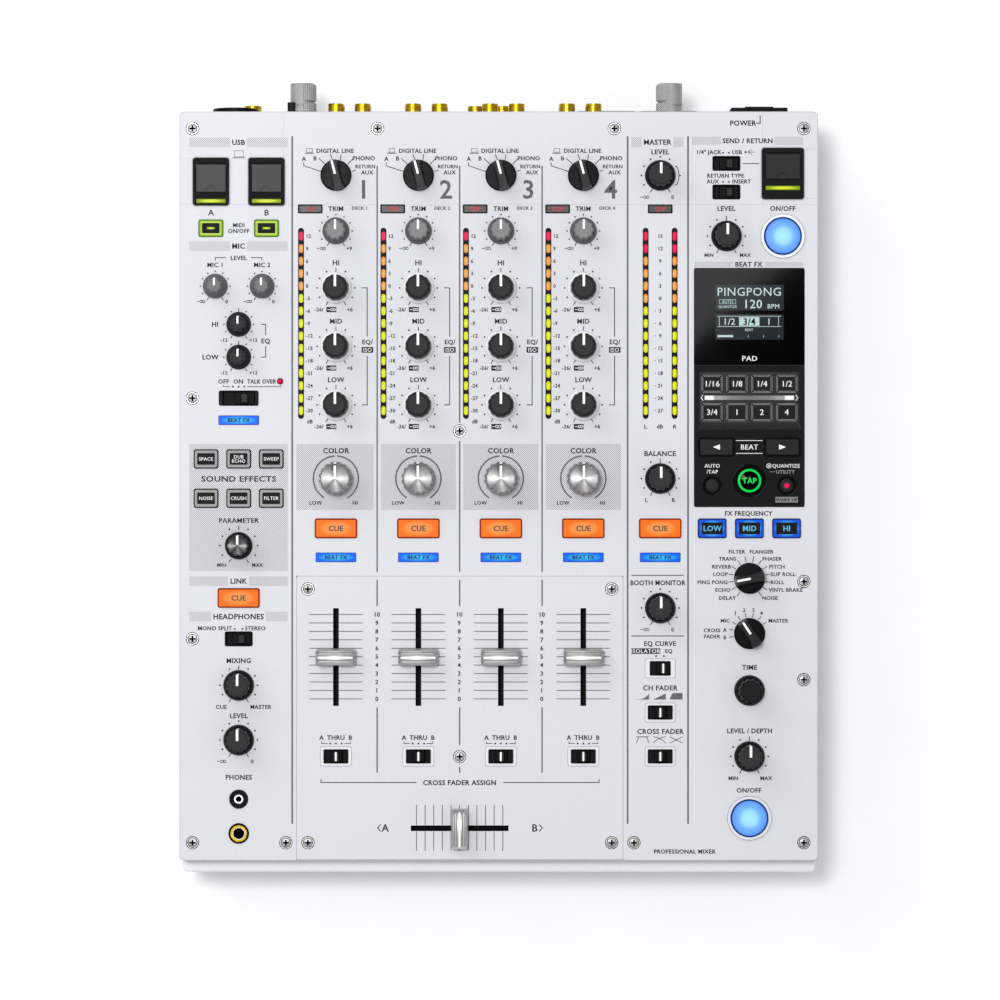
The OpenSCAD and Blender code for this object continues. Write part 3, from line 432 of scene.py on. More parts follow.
class Build:
    """Gathers the faces of one object, each with its material, and a UV for every corner."""

    def __init__(self, place=None):
        self.verts, self.uvs, self.faces, self.mats, self.smooth = [], [], [], [], []
        self.place = place or Matrix.Identity(4)

    def add(self, verts, faces, mat, smooth=False, uv=None):
        base = len(self.verts)
        for i, v in enumerate(verts):
            self.verts.append(self.place @ Vector(v))
            self.uvs.append(uv[i] if uv else (0.0, 0.0))
        for f in faces:
            self.faces.append([base + i for i in f])
            self.mats.append(mat)
            self.smooth.append(smooth)

    def loft(self, levels, mats, smooth=False, caps=(True, True), loop=False):
        """Joins outlines of equal length. Each level is (outline, z); mats is one name or one for each step."""
        n = len(levels[0][0])
        verts = [(x, y, z) for outline, z in levels for x, y in outline]
        wide = max(abs(x) for x, y, z in verts) or 1.0
        deep = max(abs(y) for x, y, z in verts) or 1.0
        uv = [(x / wide, y / deep) for x, y, z in verts]
        steps = len(levels) if loop else len(levels) - 1
        names = [mats] * (steps + 2) if isinstance(mats, str) else mats
        for s in range(steps):
            a, b = s * n, ((s + 1) % len(levels)) * n
            quads = [[a + i, a + (i + 1) % n, b + (i + 1) % n, b + i] for i in range(n)]
            self.add_shared(verts, uv, quads, names[s], smooth)
        if loop:
            self.flush()
            return
        if caps[0]:
            self.add_shared(verts, uv, [list(range(n - 1, -1, -1))], names[0], False)
        if caps[1]:
            top = (len(levels) - 1) * n
            self.add_shared(verts, uv, [list(range(top, top + n))], names[-1], False)
        self.flush()

    def add_shared(self, verts, uv, faces, mat, smooth):
        if not hasattr(self, "_pending"):
            self._pending = []
            self._base = len(self.verts)
            for v, t in zip(verts, uv):
                self.verts.append(self.place @ Vector(v))
                self.uvs.append(t)
        for f in faces:
            self.faces.append([self._base + i for i in f])
            self.mats.append(mat)
            self.smooth.append(smooth)

    def flush(self):
        if hasattr(self, "_pending"):
            del self._pending, self._base

    def turned(self, profile, mats, n=48, flutes=0, depth=0.0, smooth=True):
        """A lathe shape through (r, z) points, closed at both ends."""
        levels = [(circle(max(r, 0.01), n, flutes, depth if r > 1 else 0.0), z) for r, z in profile]
        self.loft(levels, mats, smooth)

    def ring(self, outer, inner, low, high, mat, n=48, edge=0.0):
        levels = [(circle(outer, n), low), (circle(outer, n), high - edge), (circle(outer - edge, n), high),
                  (circle(inner, n), high), (circle(inner, n), low)]
        self.loft(levels, mat, loop=True, smooth=False)

    def slab(self, w, d, r, low, high, mats, edge=0.0, n=4):
        """A rounded block; with an edge its top is bevelled. mats may name the side and the top."""
        side, top = (mats, mats) if isinstance(mats, str) else mats
        if edge:
            levels = [(rounded(w, d, r, n), low), (rounded(w, d, r, n), high - edge),
                      (rounded(w - 2 * edge, d - 2 * edge, max(0.05, r - edge), n), high)]
            self.loft(levels, [side, side, top])
        else:
            self.loft([(rounded(w, d, r, n), low), (rounded(w, d, r, n), high)], [side, top])

    def frame(self, w, d, r, hole_w, hole_d, hole_r, low, high, mat, n=4):
        self.loft([(rounded(w, d, r, n), low), (rounded(w, d, r, n), high),
                   (rounded(hole_w, hole_d, hole_r, n), high), (rounded(hole_w, hole_d, hole_r, n), low)],
                  mat, loop=True)

    def stroke(self, points, width, mat, low=INK - 0.03, high=INK):
        """A printed line through the points."""
        pts = [Vector(p).to_2d() for p in points]
        left, right = [], []
        for i, p in enumerate(pts):
            before = (p - pts[i - 1]).normalized() if i else (pts[1] - p).normalized()
            after = (pts[i + 1] - p).normalized() if i < len(pts) - 1 else before
            middle = (before + after).normalized()
            normal = Vector((-middle.y, middle.x))
            reach = width / 2 / max(0.3, normal.dot(Vector((-before.y, before.x))))
            left.append(p + normal * reach)
            right.append(p - normal * reach)
        verts = [(q.x, q.y, z) for z in (low, high) for q in left + right]
        n = len(pts)
        faces = []
        for i in range(n - 1):
            a, b, c, d = i, i + 1, n + i + 1, n + i
            faces.append([2 * n + v for v in (d, c, b, a)])
            faces.append([a, b, c, d])
            faces.append([b, a, 2 * n + a, 2 * n + b])
            faces.append([d, c, 2 * n + c, 2 * n + d])
        faces.append([0, n, 3 * n, 2 * n])
        faces.append([2 * n - 1, n - 1, 3 * n - 1, 4 * n - 1])
        self.add(verts, faces, mat)

    def dot(self, x, y, r, mat, low=INK - 0.03, high=INK):
        keep = self.place
        self.place = keep @ at(x, y)
        self.loft([(circle(r, 12), low), (circle(r, 12), high)], mat)
        self.place = keep

    def words(self, text, x, y, cap, mat="ink", align="CENTER", bold=0.0, stretch=1.0, z=INK, weight=0.0):
        verts, faces = lettering(text, cap, align, bold, stretch)
        keep = self.place
        for side in ((0,) if not weight else (-1, 1)):
            self.place = keep @ at(x + side * weight / 2, y, z + side * 0.004)
            self.add(verts, faces, mat)
        self.place = keep

    def object(self, name, body, slot, *replaced):
        mesh = bpy.data.meshes.new(name)
        mesh.from_pydata([v * MM for v in self.verts], [], self.faces)
        names = sorted(set(self.mats))
        for n in names:
            mesh.materials.append(M[n])
        mesh.polygons.foreach_set("material_index", [names.index(m) for m in self.mats])
        mesh.polygons.foreach_set("use_smooth", self.smooth)
        layer = mesh.uv_layers.new(name="uv")
        layer.data.foreach_set("uv", [c for loop in mesh.loops for c in self.uvs[loop.vertex_index]])
        mesh.update()
        made = bpy.data.objects.new(name, mesh)
        bpy.context.scene.collection.objects.link(made)
        if any(self.smooth):
            sharpen(mesh, 38)
        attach(made, body)
        if replaced:
            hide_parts(*replaced)
        return made


def label(p, text, x, y, cap, mat="ink", align="CENTER", **more):
    """Words in a heavier stroke than the font's own when dark, and in its own when light."""
    if mat in ("ink_white", "oled"):
        more.setdefault("bold", 0.0)
    p.words(text, x, y, cap, mat, align, more.pop("bold", cap * 0.03), more.pop("stretch", 0.99),
            weight=more.pop("weight", cap * 0.03), **more)


def sharpen(mesh, degrees):
    """Marks the edges that turn by more than this as sharp."""
    import bmesh
    bm = bmesh.new()
    bm.from_mesh(mesh)
    limit = math.radians(degrees)
    for e in bm.edges:
        e.smooth = len(e.link_faces) == 2 and e.calc_face_angle(0.0) < limit
    bm.to_mesh(mesh)
    bm.free()


_glyphs = {}


def lettering(text, cap, align, bold, stretch):
    """The faces of some words in the built-in font, solid, with capitals of that height."""
    key = (text, cap, align, bold, stretch)
    if key not in _glyphs:
        curve = bpy.data.curves.new("words", "FONT")
        curve.body = text
        curve.size = cap / CAP_RATIO
        curve.align_x = align
        curve.offset = bold
        curve.extrude = 0.015
        curve.resolution_u = 2
        curve.space_line = 0.86
        curve.space_character = 1.07
        holder = bpy.data.objects.new("words", curve)
        bpy.context.scene.collection.objects.link(holder)
        bpy.context.view_layer.update()
        mesh = holder.to_mesh()
        lines = text.count("\n")
        drop = cap / 2 - lines * curve.size * curve.space_line / 2
        verts = [(v.co.x * stretch, v.co.y - drop, v.co.z) for v in mesh.vertices]
        faces = [list(p.vertices) for p in mesh.polygons]
        holder.to_mesh_clear()
        bpy.data.objects.remove(holder)
        bpy.data.curves.remove(curve)
        _glyphs[key] = (verts, faces)
    return _glyphs[key]


CAP_RATIO = 1.0
_probe = lettering("H", 1.0, "LEFT", 0.0, 1.0)[0]
CAP_RATIO = max(v[1] for v in _probe) - min(v[1] for v in _probe)
_glyphs.clear()


def spot(x, y, r, degrees):
    a = math.radians(degrees)
    return (x + r * math.sin(a), y + r * math.cos(a))


def arc(x, y, r, start, end, step=5):
    count = max(2, int(abs(end - start) / step))
    return [spot(x, y, r, start + (end - start) * i / count) for i in range(count + 1)]


# ---------------------------------------------------------------- camera, floor and light

LENS, SENSOR = 179.5, 36.0
CAMERA_AT = (0.00065, -0.0118, 2.689)
PAPER = ((0.97, 0.97, 0.97), (0.985, 0.985, 0.985))
SKY = ((0.6, 0.6, 0.615, 1), (0.8, 0.8, 0.805, 1))
AIM = (0, 0, 0.05)
WINDOW_AT = (0.2033, 0.245, 2.7)
WINDOW_SIZE = (0.3, 0.14)
WINDOW_TURN = 40.8


def stage():
    scene = bpy.context.scene
    camera = bpy.data.objects.new("camera", bpy.data.cameras.new("camera"))
    camera.data.lens = LENS
    camera.data.sensor_width = SENSOR
    camera.data.clip_end = 20.0
    camera.location = CAMERA_AT
    scene.collection.objects.link(camera)
    scene.camera = camera
    floor = bpy.data.meshes.new("floor")
    half, steps = 4.0, 4
    edge = [-half + 2 * half * i / steps for i in range(steps + 1)]
    floor.from_pydata([(x, y, 0) for y in edge for x in edge], [],
                      [(j * 5 + i, j * 5 + i + 1, j * 5 + i + 6, j * 5 + i + 5)
                       for j in range(steps) for i in range(steps)])
    ground = bpy.data.objects.new("floor", floor)
    scene.collection.objects.link(ground)
    paint = Paint("floor_paper", rough=0.9, specular=0.1)
    paint.colour(paint.ramp(paint.noise(0.02), [(0.3, PAPER[0]), (0.7, PAPER[1])]))
    floor.materials.append(paint.mat)
    ground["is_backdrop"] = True
    scene.view_settings.view_transform = "Standard"
    world = bpy.data.worlds.new("studio")
    world.use_nodes = True
    scene.world = world
    tree = world.node_tree
    background = tree.nodes["Background"]
    coords = tree.nodes.new("ShaderNodeTexCoord")
    slope = tree.nodes.new("ShaderNodeMapping")
    slope.inputs["Rotation"].default_value = (0, math.radians(-60), math.radians(45))
    ramp = tree.nodes.new("ShaderNodeValToRGB")
    ramp.color_ramp.elements[0].color = SKY[0]
    ramp.color_ramp.elements[1].color = SKY[1]
    shade = tree.nodes.new("ShaderNodeTexGradient")
    tree.links.new(coords.outputs["Generated"], slope.inputs["Vector"])
    tree.links.new(slope.outputs["Vector"], shade.inputs["Vector"])
    tree.links.new(shade.outputs["Fac"], ramp.inputs["Fac"])
    tree.links.new(ramp.outputs["Color"], background.inputs["Color"])
    background.inputs["Strength"].default_value = 1.0
    lamp("key", (-0.3, 0.28, 3.0), AIM, 0.42, 37)
    lamp("fill", (-0.75, 0.75, 0.95), AIM, 1.0, 5)
    window = lamp("window", WINDOW_AT, (*WINDOW_AT[:2], 0), WINDOW_SIZE[0], 3.6)
    window.data.shape = "RECTANGLE"
    window.data.size_y = WINDOW_SIZE[1]
    window.rotation_euler = (0, 0, math.radians(WINDOW_TURN))
    window.visible_diffuse = False
    window.visible_camera = False


def lamp(name, place, target, size, power):
    data = bpy.data.lights.new(name, "AREA")
    data.shape = "SQUARE"
    data.size = size
    data.energy = power
    made = bpy.data.objects.new(name, data)
    made.location = place
    made.rotation_euler = (Vector(target) - Vector(place)).to_track_quat("-Z", "Y").to_euler()
    bpy.context.scene.collection.objects.link(made)
    return made


stage()


# ---------------------------------------------------------------- CAD nodes that stay

def paint_node(name, slots, choose=lambda c, n: 0):
    """Gives a CAD node its materials; choose picks one from a face's middle and normal, in millimetres."""
    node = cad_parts[name]
    node.data.materials.clear()
    for s in slots:
        node.data.materials.append(M[s])
    for p in node.data.polygons:
        p.material_index = choose(p.center * 1000, p.normal)
        p.use_smooth = False


# Upward faces at the floor of the panels' groove get the near-black painted shade.
def groove(c, n):
    return 1 if n.z > 0.9 and 87.9 < c.z < 88.1 else 0


# Faces inside the screws' recesses get the near-black painted shade.
def recess(c, n):
    return 1 if 87.9 < c.z < 89.15 and abs(n.z) < 0.9 or 88.4 < c.z < 88.6 or n.z > 0.9 and c.z < 88.9 else 0


def socket_finish(c, n):
    if c.z > 80 and c.y < 180 or c.y < 160:
        return 1
    if c.y > 187 and abs(c.z - 66) < 6.6 and (abs(c.x + 103.3) < 6.6 or abs(c.x - 90.2) < 6.6):
        return 2
    if c.z > 42 and -86 < c.x < 58 and c.y > 187:
        return 0
    return 1


paint_node("top_panel", ["panel", "pit"], groove)
paint_node("fader_panel", ["panel", "pit"], groove)
paint_node("bottom_chassis", ["chassis"])
paint_node("rubber_feet", ["rubber"])
paint_node("screws", ["steel", "pit"], recess)
paint_node("sockets", ["gold", "black_matt", "knurl"], socket_finish)
paint_node("fx_panel", ["gloss"])
paint_node("circuit_boards", ["board"])
paint_node("panel_components", ["parts"])


SCREWS = [(x, 181.9) for x in (-159.7, -63.2, 60.3, 159.1)] + [(-159.7, y) for y in (41.3, -84.2, -190.5)]
SCREWS += [(159.1, y) for y in (-54.3, -105.5, -190.5)] + [(-111, -190.5), (70.5, -190.5), (-20.4, 24.2)]
SCREWS += [(x, y) for x in (-99.5, 58.9) for y in (-58.2, -190.5)] + [(-20.4, -145.6)]


def screw_heads():
    """Pan heads with a turned groove and a cross recess, over the screws of the CAD model; the rim is painted
    darker and the cross recess near-black, as painted shade.
    """
    b = Build()
    for i, (x, y) in enumerate(SCREWS):
        b.place = at(x, y, 0, 7 * i)
        b.turned([(3.05, 88.05), (3.05, 88.9), (2.75, 89.22), (2.4, 89.3)], "screw_rim", n=32)
        b.turned([(2.25, 89.1), (2.2, 89.34), (1.9, 89.42), (0.02, 89.45)], "screw_face", n=32)
        b.place = at(x, y)
        # The cross recess is drawn in near-black painted shade.
        for turn in (0, 90):
            keep, b.place = b.place, b.place @ at(0, 0, 0, turn)
            b.loft([(rounded(3.3, 0.95, 0.2, 2), 89.3), (rounded(3.3, 0.95, 0.2, 2), 89.46)], "pit")
            b.place = keep
    b.object("screw_heads", "housing", "screw_steel")
    # Painted shade: thin grey lines round the top panel and the fader panel.
    b = Build(at(0, -4.5))
    b.frame(333.0, 390.6, 2.5, 332.3, 389.9, 2.2, 88.9, 89.01, "bezel_edge")
    b.place = at(-20.35, -125.4)
    b.frame(170.7, 148.1, 1.3, 169.9, 147.3, 1.0, 88.9, 89.01, "bezel_edge")
    b.object("panel_edge_shade", "housing", "white_panel")


screw_heads()


# ---------------------------------------------------------------- knobs

def knob_main(k, skirt="knob_skirt", cap="knob_top", scale=1.0, height=105.2):
    s = scale
    k.turned([(8.0 * s, 89.6), (8.0 * s, 90.6), (7.75 * s, 91.2), (6.9 * s, 94.0), (6.3 * s, 94.5)], skirt)
    k.turned([(6.35 * s, 94.3), (6.1 * s, 99), (5.95 * s, height - 0.9), (5.6 * s, height - 0.2),
              (5.2 * s, height)],
             [skirt, skirt, cap, cap, cap, cap], n=120, flutes=12, depth=0.55)
    pointer(k, 0.2, 5.75 * s, 1.3, height)
    k.loft([(shift(rounded(1.3, 0.5, 0.1), 6.0 * s), 95.5),
            (shift(rounded(1.3, 0.5, 0.1), 5.62 * s), height)],
           "white_line")


def shift(outline, dy, dx=0.0):
    return [(x + dx, y + dy) for x, y in outline]


def pointer(k, start, end, width, z, mat="white_line", thick=0.12):
    middle = (start + end) / 2
    outline = shift(rounded(width, end - start, min(width, end - start) * 0.2), middle)
    k.loft([(outline, z - 0.3), (outline, z + thick)], mat)


def knob_eq(k):
    k.turned([(8.2, 89.6), (8.25, 90.2), (8.05, 91.2), (7.3, 92.4), (6.9, 92.7), (6.7, 92.4)], "collar", n=64)
    k.turned([(6.75, 92.2), (6.72, 97), (6.5, 103.6), (6.3, 104.6), (5.7, 105.3), (4.9, 105.55)],
             ["knob_skirt", "knob_skirt", "knob_skirt", "knob_top", "knob_top", "knob_top", "knob_top"],
             n=120, flutes=12, depth=0.28)
    pointer(k, 0.2, 6.0, 1.25, 105.5)
    k.loft([(shift(rounded(1.25, 0.6, 0.1), 6.55), 93), (shift(rounded(1.25, 0.6, 0.1), 6.1), 105.3)],
           "white_line")


def knob_trim(k):
    k.turned([(7.0, 89.6), (7.0, 90.8), (6.7, 91.5), (6.0, 94.6), (5.5, 95)], "grey_skirt")
    k.turned([(5.6, 94.8), (5.4, 99), (5.2, 103.4), (4.9, 104.1), (4.5, 104.4)],
             ["grey_skirt", "grey_skirt", "grey_top", "grey_top", "grey_top",
              "grey_top"], n=100, flutes=10, depth=0.6)
    pointer(k, 0.2, 5.0, 1.15, 104.4)
    k.loft([(shift(rounded(1.15, 0.5, 0.1), 5.4), 95.5), (shift(rounded(1.15, 0.5, 0.1), 4.95), 104.4)],
           "white_line")


def knob_small(k):
    k.turned([(7.15, 89.6), (7.15, 90.6), (6.8, 91.2), (6.0, 94), (5.6, 94.4)], "knob_skirt")
    # The cap's top carries painted reflection fans from the dark spun material.
    k.turned([(5.6, 94.2), (5.4, 99), (5.3, 103), (5.1, 103.7), (4.6, 104)],
             ["knob_skirt", "knob_skirt", "knob_skirt", "spun_dark", "spun_dark", "spun_dark"],
             n=100, flutes=10, depth=0.5)
    pointer(k, 0.6, 5.1, 1.2, 104.0)
    k.loft([(shift(rounded(1.2, 0.5, 0.1), 5.35), 95.5), (shift(rounded(1.2, 0.5, 0.1), 5.0), 104)],
           "white_line")


def knob_mic(k, grey=True):
    skirt, cap = ("mic_skirt", "mic_top") if grey else ("knob_skirt", "knob_top")
    k.turned([(6.5, 89.6), (6.45, 90.3), (6.1, 91.2), (4.6, 94.3), (4.2, 95)], skirt, n=96)
    k.turned([(4.25, 94.7), (4.0, 97), (3.8, 100.8), (3.6, 101.4), (3.2, 101.6)],
             [skirt, skirt, cap, cap, cap, cap], n=96, flutes=8, depth=0.5)
    pointer(k, 0.0, 3.7, 1.05, 101.6)
    k.loft([(shift(rounded(1.05, 0.5, 0.1), 4.1), 95.4), (shift(rounded(1.05, 0.5, 0.1), 3.6), 101.6)],
           "white_line")


def knob_filter(k):
    k.turned([(8.85, 89.6), (8.8, 92), (8.5, 104.5), (8.2, 105.6), (7.6, 106.2), (7.2, 106.1)],
             "filter_rim", n=192,
             flutes=16, depth=0.75)
    # The silver cap carries painted reflection fans from the spun material.
    k.turned([(7.3, 105.6), (7.2, 106.3), (6.9, 107.0), (6.5, 107.2), (3.0, 107.5), (0.02, 107.6)],
             "spun", n=96)
    pointer(k, -0.4, 6.6, 1.25, 107.55)
    k.loft([(shift(rounded(1.25, 0.6, 0.1), 8.3), 98), (shift(rounded(1.25, 0.6, 0.1), 7.9), 105.9)],
           "white_line")


def knob_selector(k):
    k.turned([(8.1, 89.6), (8.1, 91.4), (7.95, 92.4), (7.5, 92.85), (5.2, 92.9), (0.02, 92.9)],
             "knob_gloss", n=64)
    half = 2.7
    outline = []
    for side in (1, -1):
        for i in range(9):
            x = side * half * (1 - i / 4)
            outline.append((x, side * math.sqrt(7.75 ** 2 - x * x)))
    outline = outline[::1]
    top = [(x * 0.82, y * 0.93) for x, y in outline]
    k.loft([(outline, 92.7), ([(x * 0.94, y * 0.99) for x, y in outline], 100), (top, 102.9), (
        [(x * 0.86, y * 0.985) for x, y in top], 103.3)], ["knob_skirt", "knob_skirt", "knob_bar",
                                                           "knob_bar", "knob_bar"])
    pointer(k, 0.0, 7.0, 1.15, 103.3)
    k.loft([(shift(rounded(1.15, 0.5, 0.1), 7.6), 93.2), (shift(rounded(1.15, 0.5, 0.1), 7.0), 103.3)],
           "white_line")


def knob_time(k):
    k.turned([(8.0, 89.6), (8.0, 90.6), (7.75, 91.2), (6.9, 94.0), (6.3, 94.5)], "knob_skirt")
    k.turned([(6.35, 94.3), (6.1, 99), (5.95, 104.3), (5.6, 105.0), (5.2, 105.2)],
             "knob_skirt", n=120, flutes=12, depth=0.55)


def nose():
    """The moulding along the front edge, with rounded corners and eased edges."""
    rear = -199.25
    levels = []
    for inset, z in ((0.6, 12.0), (0.0, 12.6), (0.0, 69.2), (0.25, 69.75), (0.8, 70.0)):
        outline = shift(rounded(332.4 - 2 * inset, 15.8 - 2 * inset, 2.6 - inset, 6), rear)
        levels.append(([(x, min(y, rear)) for x, y in outline], z))
    b = Build()
    b.loft(levels, "fascia")
    b.object("front_nose", "housing", "white_fascia", "front_fascia")


nose()


KNOBS = []
for i, x in enumerate(CHANNELS):
    KNOBS += [(f"knob_input_{i + 1}", x, 157.4, knob_selector, 15, "knob_black"),
              (f"knob_trim_{i + 1}", x, 128.5, knob_trim, 0, "knob_grey"),
              (f"knob_high_{i + 1}", x, 98.8, knob_eq, 0, "knob_black"),
              (f"knob_mid_{i + 1}", x, 68.3, knob_eq, 0, "knob_black"),
              (f"knob_low_{i + 1}", x, 37.8, knob_eq, 0, "knob_black"),
              (f"knob_filter_{i + 1}", x, -0.6, knob_filter, 0, "knob_silver")]
KNOBS += [("knob_mic_1", LEFT_X - 12.2, 99.7, knob_mic, 0, "knob_grey"),
          ("knob_mic_2", LEFT_X + 12.2, 99.7, knob_mic, 0, "knob_grey"),
          ("knob_mic_high", LEFT_X, 79.8, lambda k: knob_mic(k, False), 0, "knob_black"),
          ("knob_mic_low", LEFT_X, 62.7, lambda k: knob_mic(k, False), 0, "knob_black"),
          ("knob_parameter", LEFT_X, -35.6, knob_small, 0, "knob_black"),
          ("knob_phones_mix", LEFT_X, -108.4, knob_main, 0, "knob_black"),
          ("knob_phones_level", LEFT_X, -136.9, knob_main, 0, "knob_black"),
          ("knob_master_level", MASTER_X, 157.4, knob_main, 0, "knob_black"),
          ("knob_balance", MASTER_X, -0.6, knob_main, 0, "knob_black"),
          ("knob_booth", MASTER_X, -68.1, knob_main, 0, "knob_black"),
          ("knob_send_level", 118.7, 125.8, knob_main, 0, "knob_black"),
          ("knob_fx_select", FX_X, -52.6, knob_selector, 100.8, "knob_black"),
          ("knob_fx_channel", FX_X, -81.4, knob_selector, 33.6, "knob_black"),
          ("knob_fx_time", FX_X, -111.1, knob_time, 0, "knob_black"),
          ("knob_fx_depth", FX_X, -145.5, knob_main, 0, "knob_black")]

for name, x, y, shape, turn, slot in KNOBS:
    k = Build(at(x, y, 0, turn))
    k.turned([(3.0, 74.0), (3.0, 90.0)], "nickel", n=24)
    shape(k)
    k.object(name.replace("knob", "cap"), name, slot, name)


# ---------------------------------------------------------------- faders

def fader(name, x, y, turn):
    place = at(x, y, 0, turn) @ Matrix(((0, 0, 1, 0), (1, 0, 0, 0), (0, 1, 0, 0), (0, 0, 0, 1)))
    f = Build(place)
    top = 100.5

    def section(w, high, dip):
        """Half the cap's outline from the front foot over the grooves, as (y, z)."""
        pts = [(w, 90.0), (w - 0.15, 93), (w - 0.45, high - 1.1), (w - 0.75, high - 0.35), (w - 1.25, high)]
        for i in range(7):
            a = i / 6
            pts.append((w - 1.45 - 1.9 * a, high - dip * math.sin(math.pi * a) ** 0.8))
        pts.append((0.75, high))
        left = [(-a, b) for a, b in reversed(pts)]
        return pts + left

    half = 10.35
    levels = [(section(3.9, 97.3, 0.2), -half), (section(4.3, 98.6, 0.3), 0.75 - half),
              (section(4.45, 99.9, 0.5), 1.7 - half), (section(4.5, top, 0.95), 2.6 - half),
              (section(4.5, top, 0.95), half - 2.6), (section(4.45, 99.9, 0.5), half - 1.7),
              (section(4.3, 98.6, 0.3), half - 0.75), (section(3.9, 97.3, 0.2), half)]
    f.loft(levels, ["steel", "steel", "brushed", "brushed", "brushed", "steel", "steel", "steel"],
           smooth=True)
    f.place = at(x, y, 0, turn)
    f.slab(18.2, 1.0, 0.3, top - 0.3, top + 0.04, "white_line")
    f.slab(1.4, 4.6, 0.3, 76, 91, "nickel")
    f.object(name.replace("fader", "fader_cap"), name, "fader_silver", name)


for i, x in enumerate(CHANNELS):
    fader(f"fader_{i + 1}", x, -93.7, 0)
fader("crossfader", -20.4, -183.0, 90)


# ---------------------------------------------------------------- push buttons

def stem(b, w, d=0.0):
    """The collar and the stem below a button, under the panel."""
    if d:
        b.slab(w + 1.6, d + 1.6, 1, 85.2, 86.7, "black_matt")
    elif w < 10:
        b.turned([(w / 2 + 1, 85.2), (w / 2 + 1, 86.7)], "black_matt", smooth=False)
    b.turned([(1.8, 77.3), (1.8, 85.4)], "black_matt", n=16, smooth=False)


def button(x, y):
    return Build(at(x, y))


def press(b, name, slot="button_plastic"):
    b.object(name, "push_buttons", slot, "push_buttons")


for i, (x, y, w, d) in enumerate([(c, -26.6, 21.6, 9.8) for c in COLUMNS] + [(LEFT_X, -62.9, 21.4, 9.7)]):
    b = button(x, y)
    stem(b, w, d)
    b.slab(w, d, 1, 86.5, 89.6, "orange_edge")
    b.slab(w, d, 1, 89.5, 90.4, ("orange_edge", "orange"), edge=0.45)
    label(b, "CUE", 0, 0, 2.65, "cue_ink", z=90.42, weight=0.16, bold=0.1)
    press(b, f"cue_button_{i + 1}")

COLOUR_FX = [("SPACE", "DUB\nECHO", "SWEEP"), ("NOISE", "CRUSH", "FILTER")]
for row, y in enumerate((9.6, -10.9)):
    for i in range(3):
        b = button(LEFT_X + (i - 1) * 17, y)
        stem(b, 12.4, 9.5)
        b.slab(12.4, 9.5, 1.0, 86.5, 90.1, ("black_matt", "black_matt"), edge=0.25)
        b.slab(11.7, 8.8, 0.9, 89.9, 90.14, "key_ring")
        b.slab(9.2, 6.05, 0.5, 89.95, 90.25, "black", edge=0.06)
        label(b, COLOUR_FX[row][i], 0, 0, 1.75, "ink_white", z=90.27, stretch=0.97)
        press(b, f"sound_button_{row * 3 + i + 1}")

for i, x in enumerate((-150.1, -121.1)):
    b = button(x, 129.9)
    stem(b, 12.5, 8.6)
    b.slab(12.5, 8.6, 1.0, 86.5, 90.1, ("lime_edge", "lime_edge"), edge=0.3)
    b.slab(11.7, 7.8, 0.8, 89.9, 90.14, "lime_ring")
    b.slab(9.2, 5.4, 0.5, 89.95, 90.25, "black", edge=0.06)
    b.slab(4.15, 1.2, 0.3, 90.2, 90.29, "usb_lamp")
    press(b, f"midi_button_{i + 1}")

for i, x in enumerate((FX_X - 19.4, FX_X, FX_X + 19.4)):
    b = button(x, -26.6)
    stem(b, 14.5, 9.8)
    b.slab(14.5, 9.8, 1.0, 86.5, 90.1, ("blue_edge", "blue_edge"), edge=0.25)
    b.slab(13.7, 9.0, 0.9, 89.9, 90.14, "band_ring")
    b.slab(11.0, 6.15, 0.5, 89.95, 90.25, "black", edge=0.06)
    label(b, ("LOW", "MID", "HI")[i], 0, 0, 2.7, "cyan_text", z=90.27)
    press(b, f"band_button_{i + 1}")

for i, x in enumerate((113.5, 147.9)):
    b = button(x, 15.8)
    stem(b, 17.5, 8.6)
    # The sides, down in the gap, are near-black painted shade.
    b.slab(17.5, 8.6, 0.9, 86.5, 90.4, ("pit", "button_top"), edge=0.35)
    side = -1 if i == 0 else 1
    arrow = [(side * 1.8, 0), (-side * 1.8, 1.4), (-side * 1.8, -1.4)][::side]
    b.loft([(arrow, 90.3), (arrow, 90.44)], "ink_white")
    press(b, f"beat_button_{i + 1}")

for i, x in enumerate((FX_X - 19.4, FX_X + 19.4)):
    b = button(x, -4.3)
    stem(b, 9)
    # Painted shade: a near-black ring for the recess round the button.
    b.turned([(4.5, 86.5), (4.5, 89.7), (4.35, 89.85), (3.9, 89.7), (3.7, 89.5)], "pit")
    b.turned([(3.65, 89.3), (3.6, 90.0), (3.3, 90.25), (2.2, 90.3), (0.02, 90.3)], "button_top")
    if i:
        b.turned([(1.35, 90.2), (1.35, 90.32), (0.02, 90.33)], "red_led", n=24)
    press(b, f"small_button_{i + 1}")

b = button(FX_X, -1.7)
stem(b, 12.2)
b.turned([(6.1, 86.5), (6.1, 90.2), (5.9, 90.5), (5.0, 90.6), (4.95, 90.45)], "green")
b.turned([(4.95, 90.2), (4.95, 90.5), (4.6, 90.6), (0.02, 90.55)], "gloss")
label(b, "TAP", 0, 0, 2.75, "green", z=90.64)
press(b, "tap_button")
for i, (x, y) in enumerate(((148.1, 125.8), (FX_X, -177.7))):
    b = button(x, y)
    stem(b, 19.4)
    b.turned([(9.7, 86.5), (9.7, 90.2), (9.5, 90.55), (9.1, 90.68)], "blue_edge", n=72)
    b.turned([(9.15, 90.4), (9.1, 90.7), (8.7, 90.77), (5.0, 90.8), (0.02, 90.8)], "blue", n=72)
    press(b, f"on_button_{i + 1}")


# ---------------------------------------------------------------- slide switches

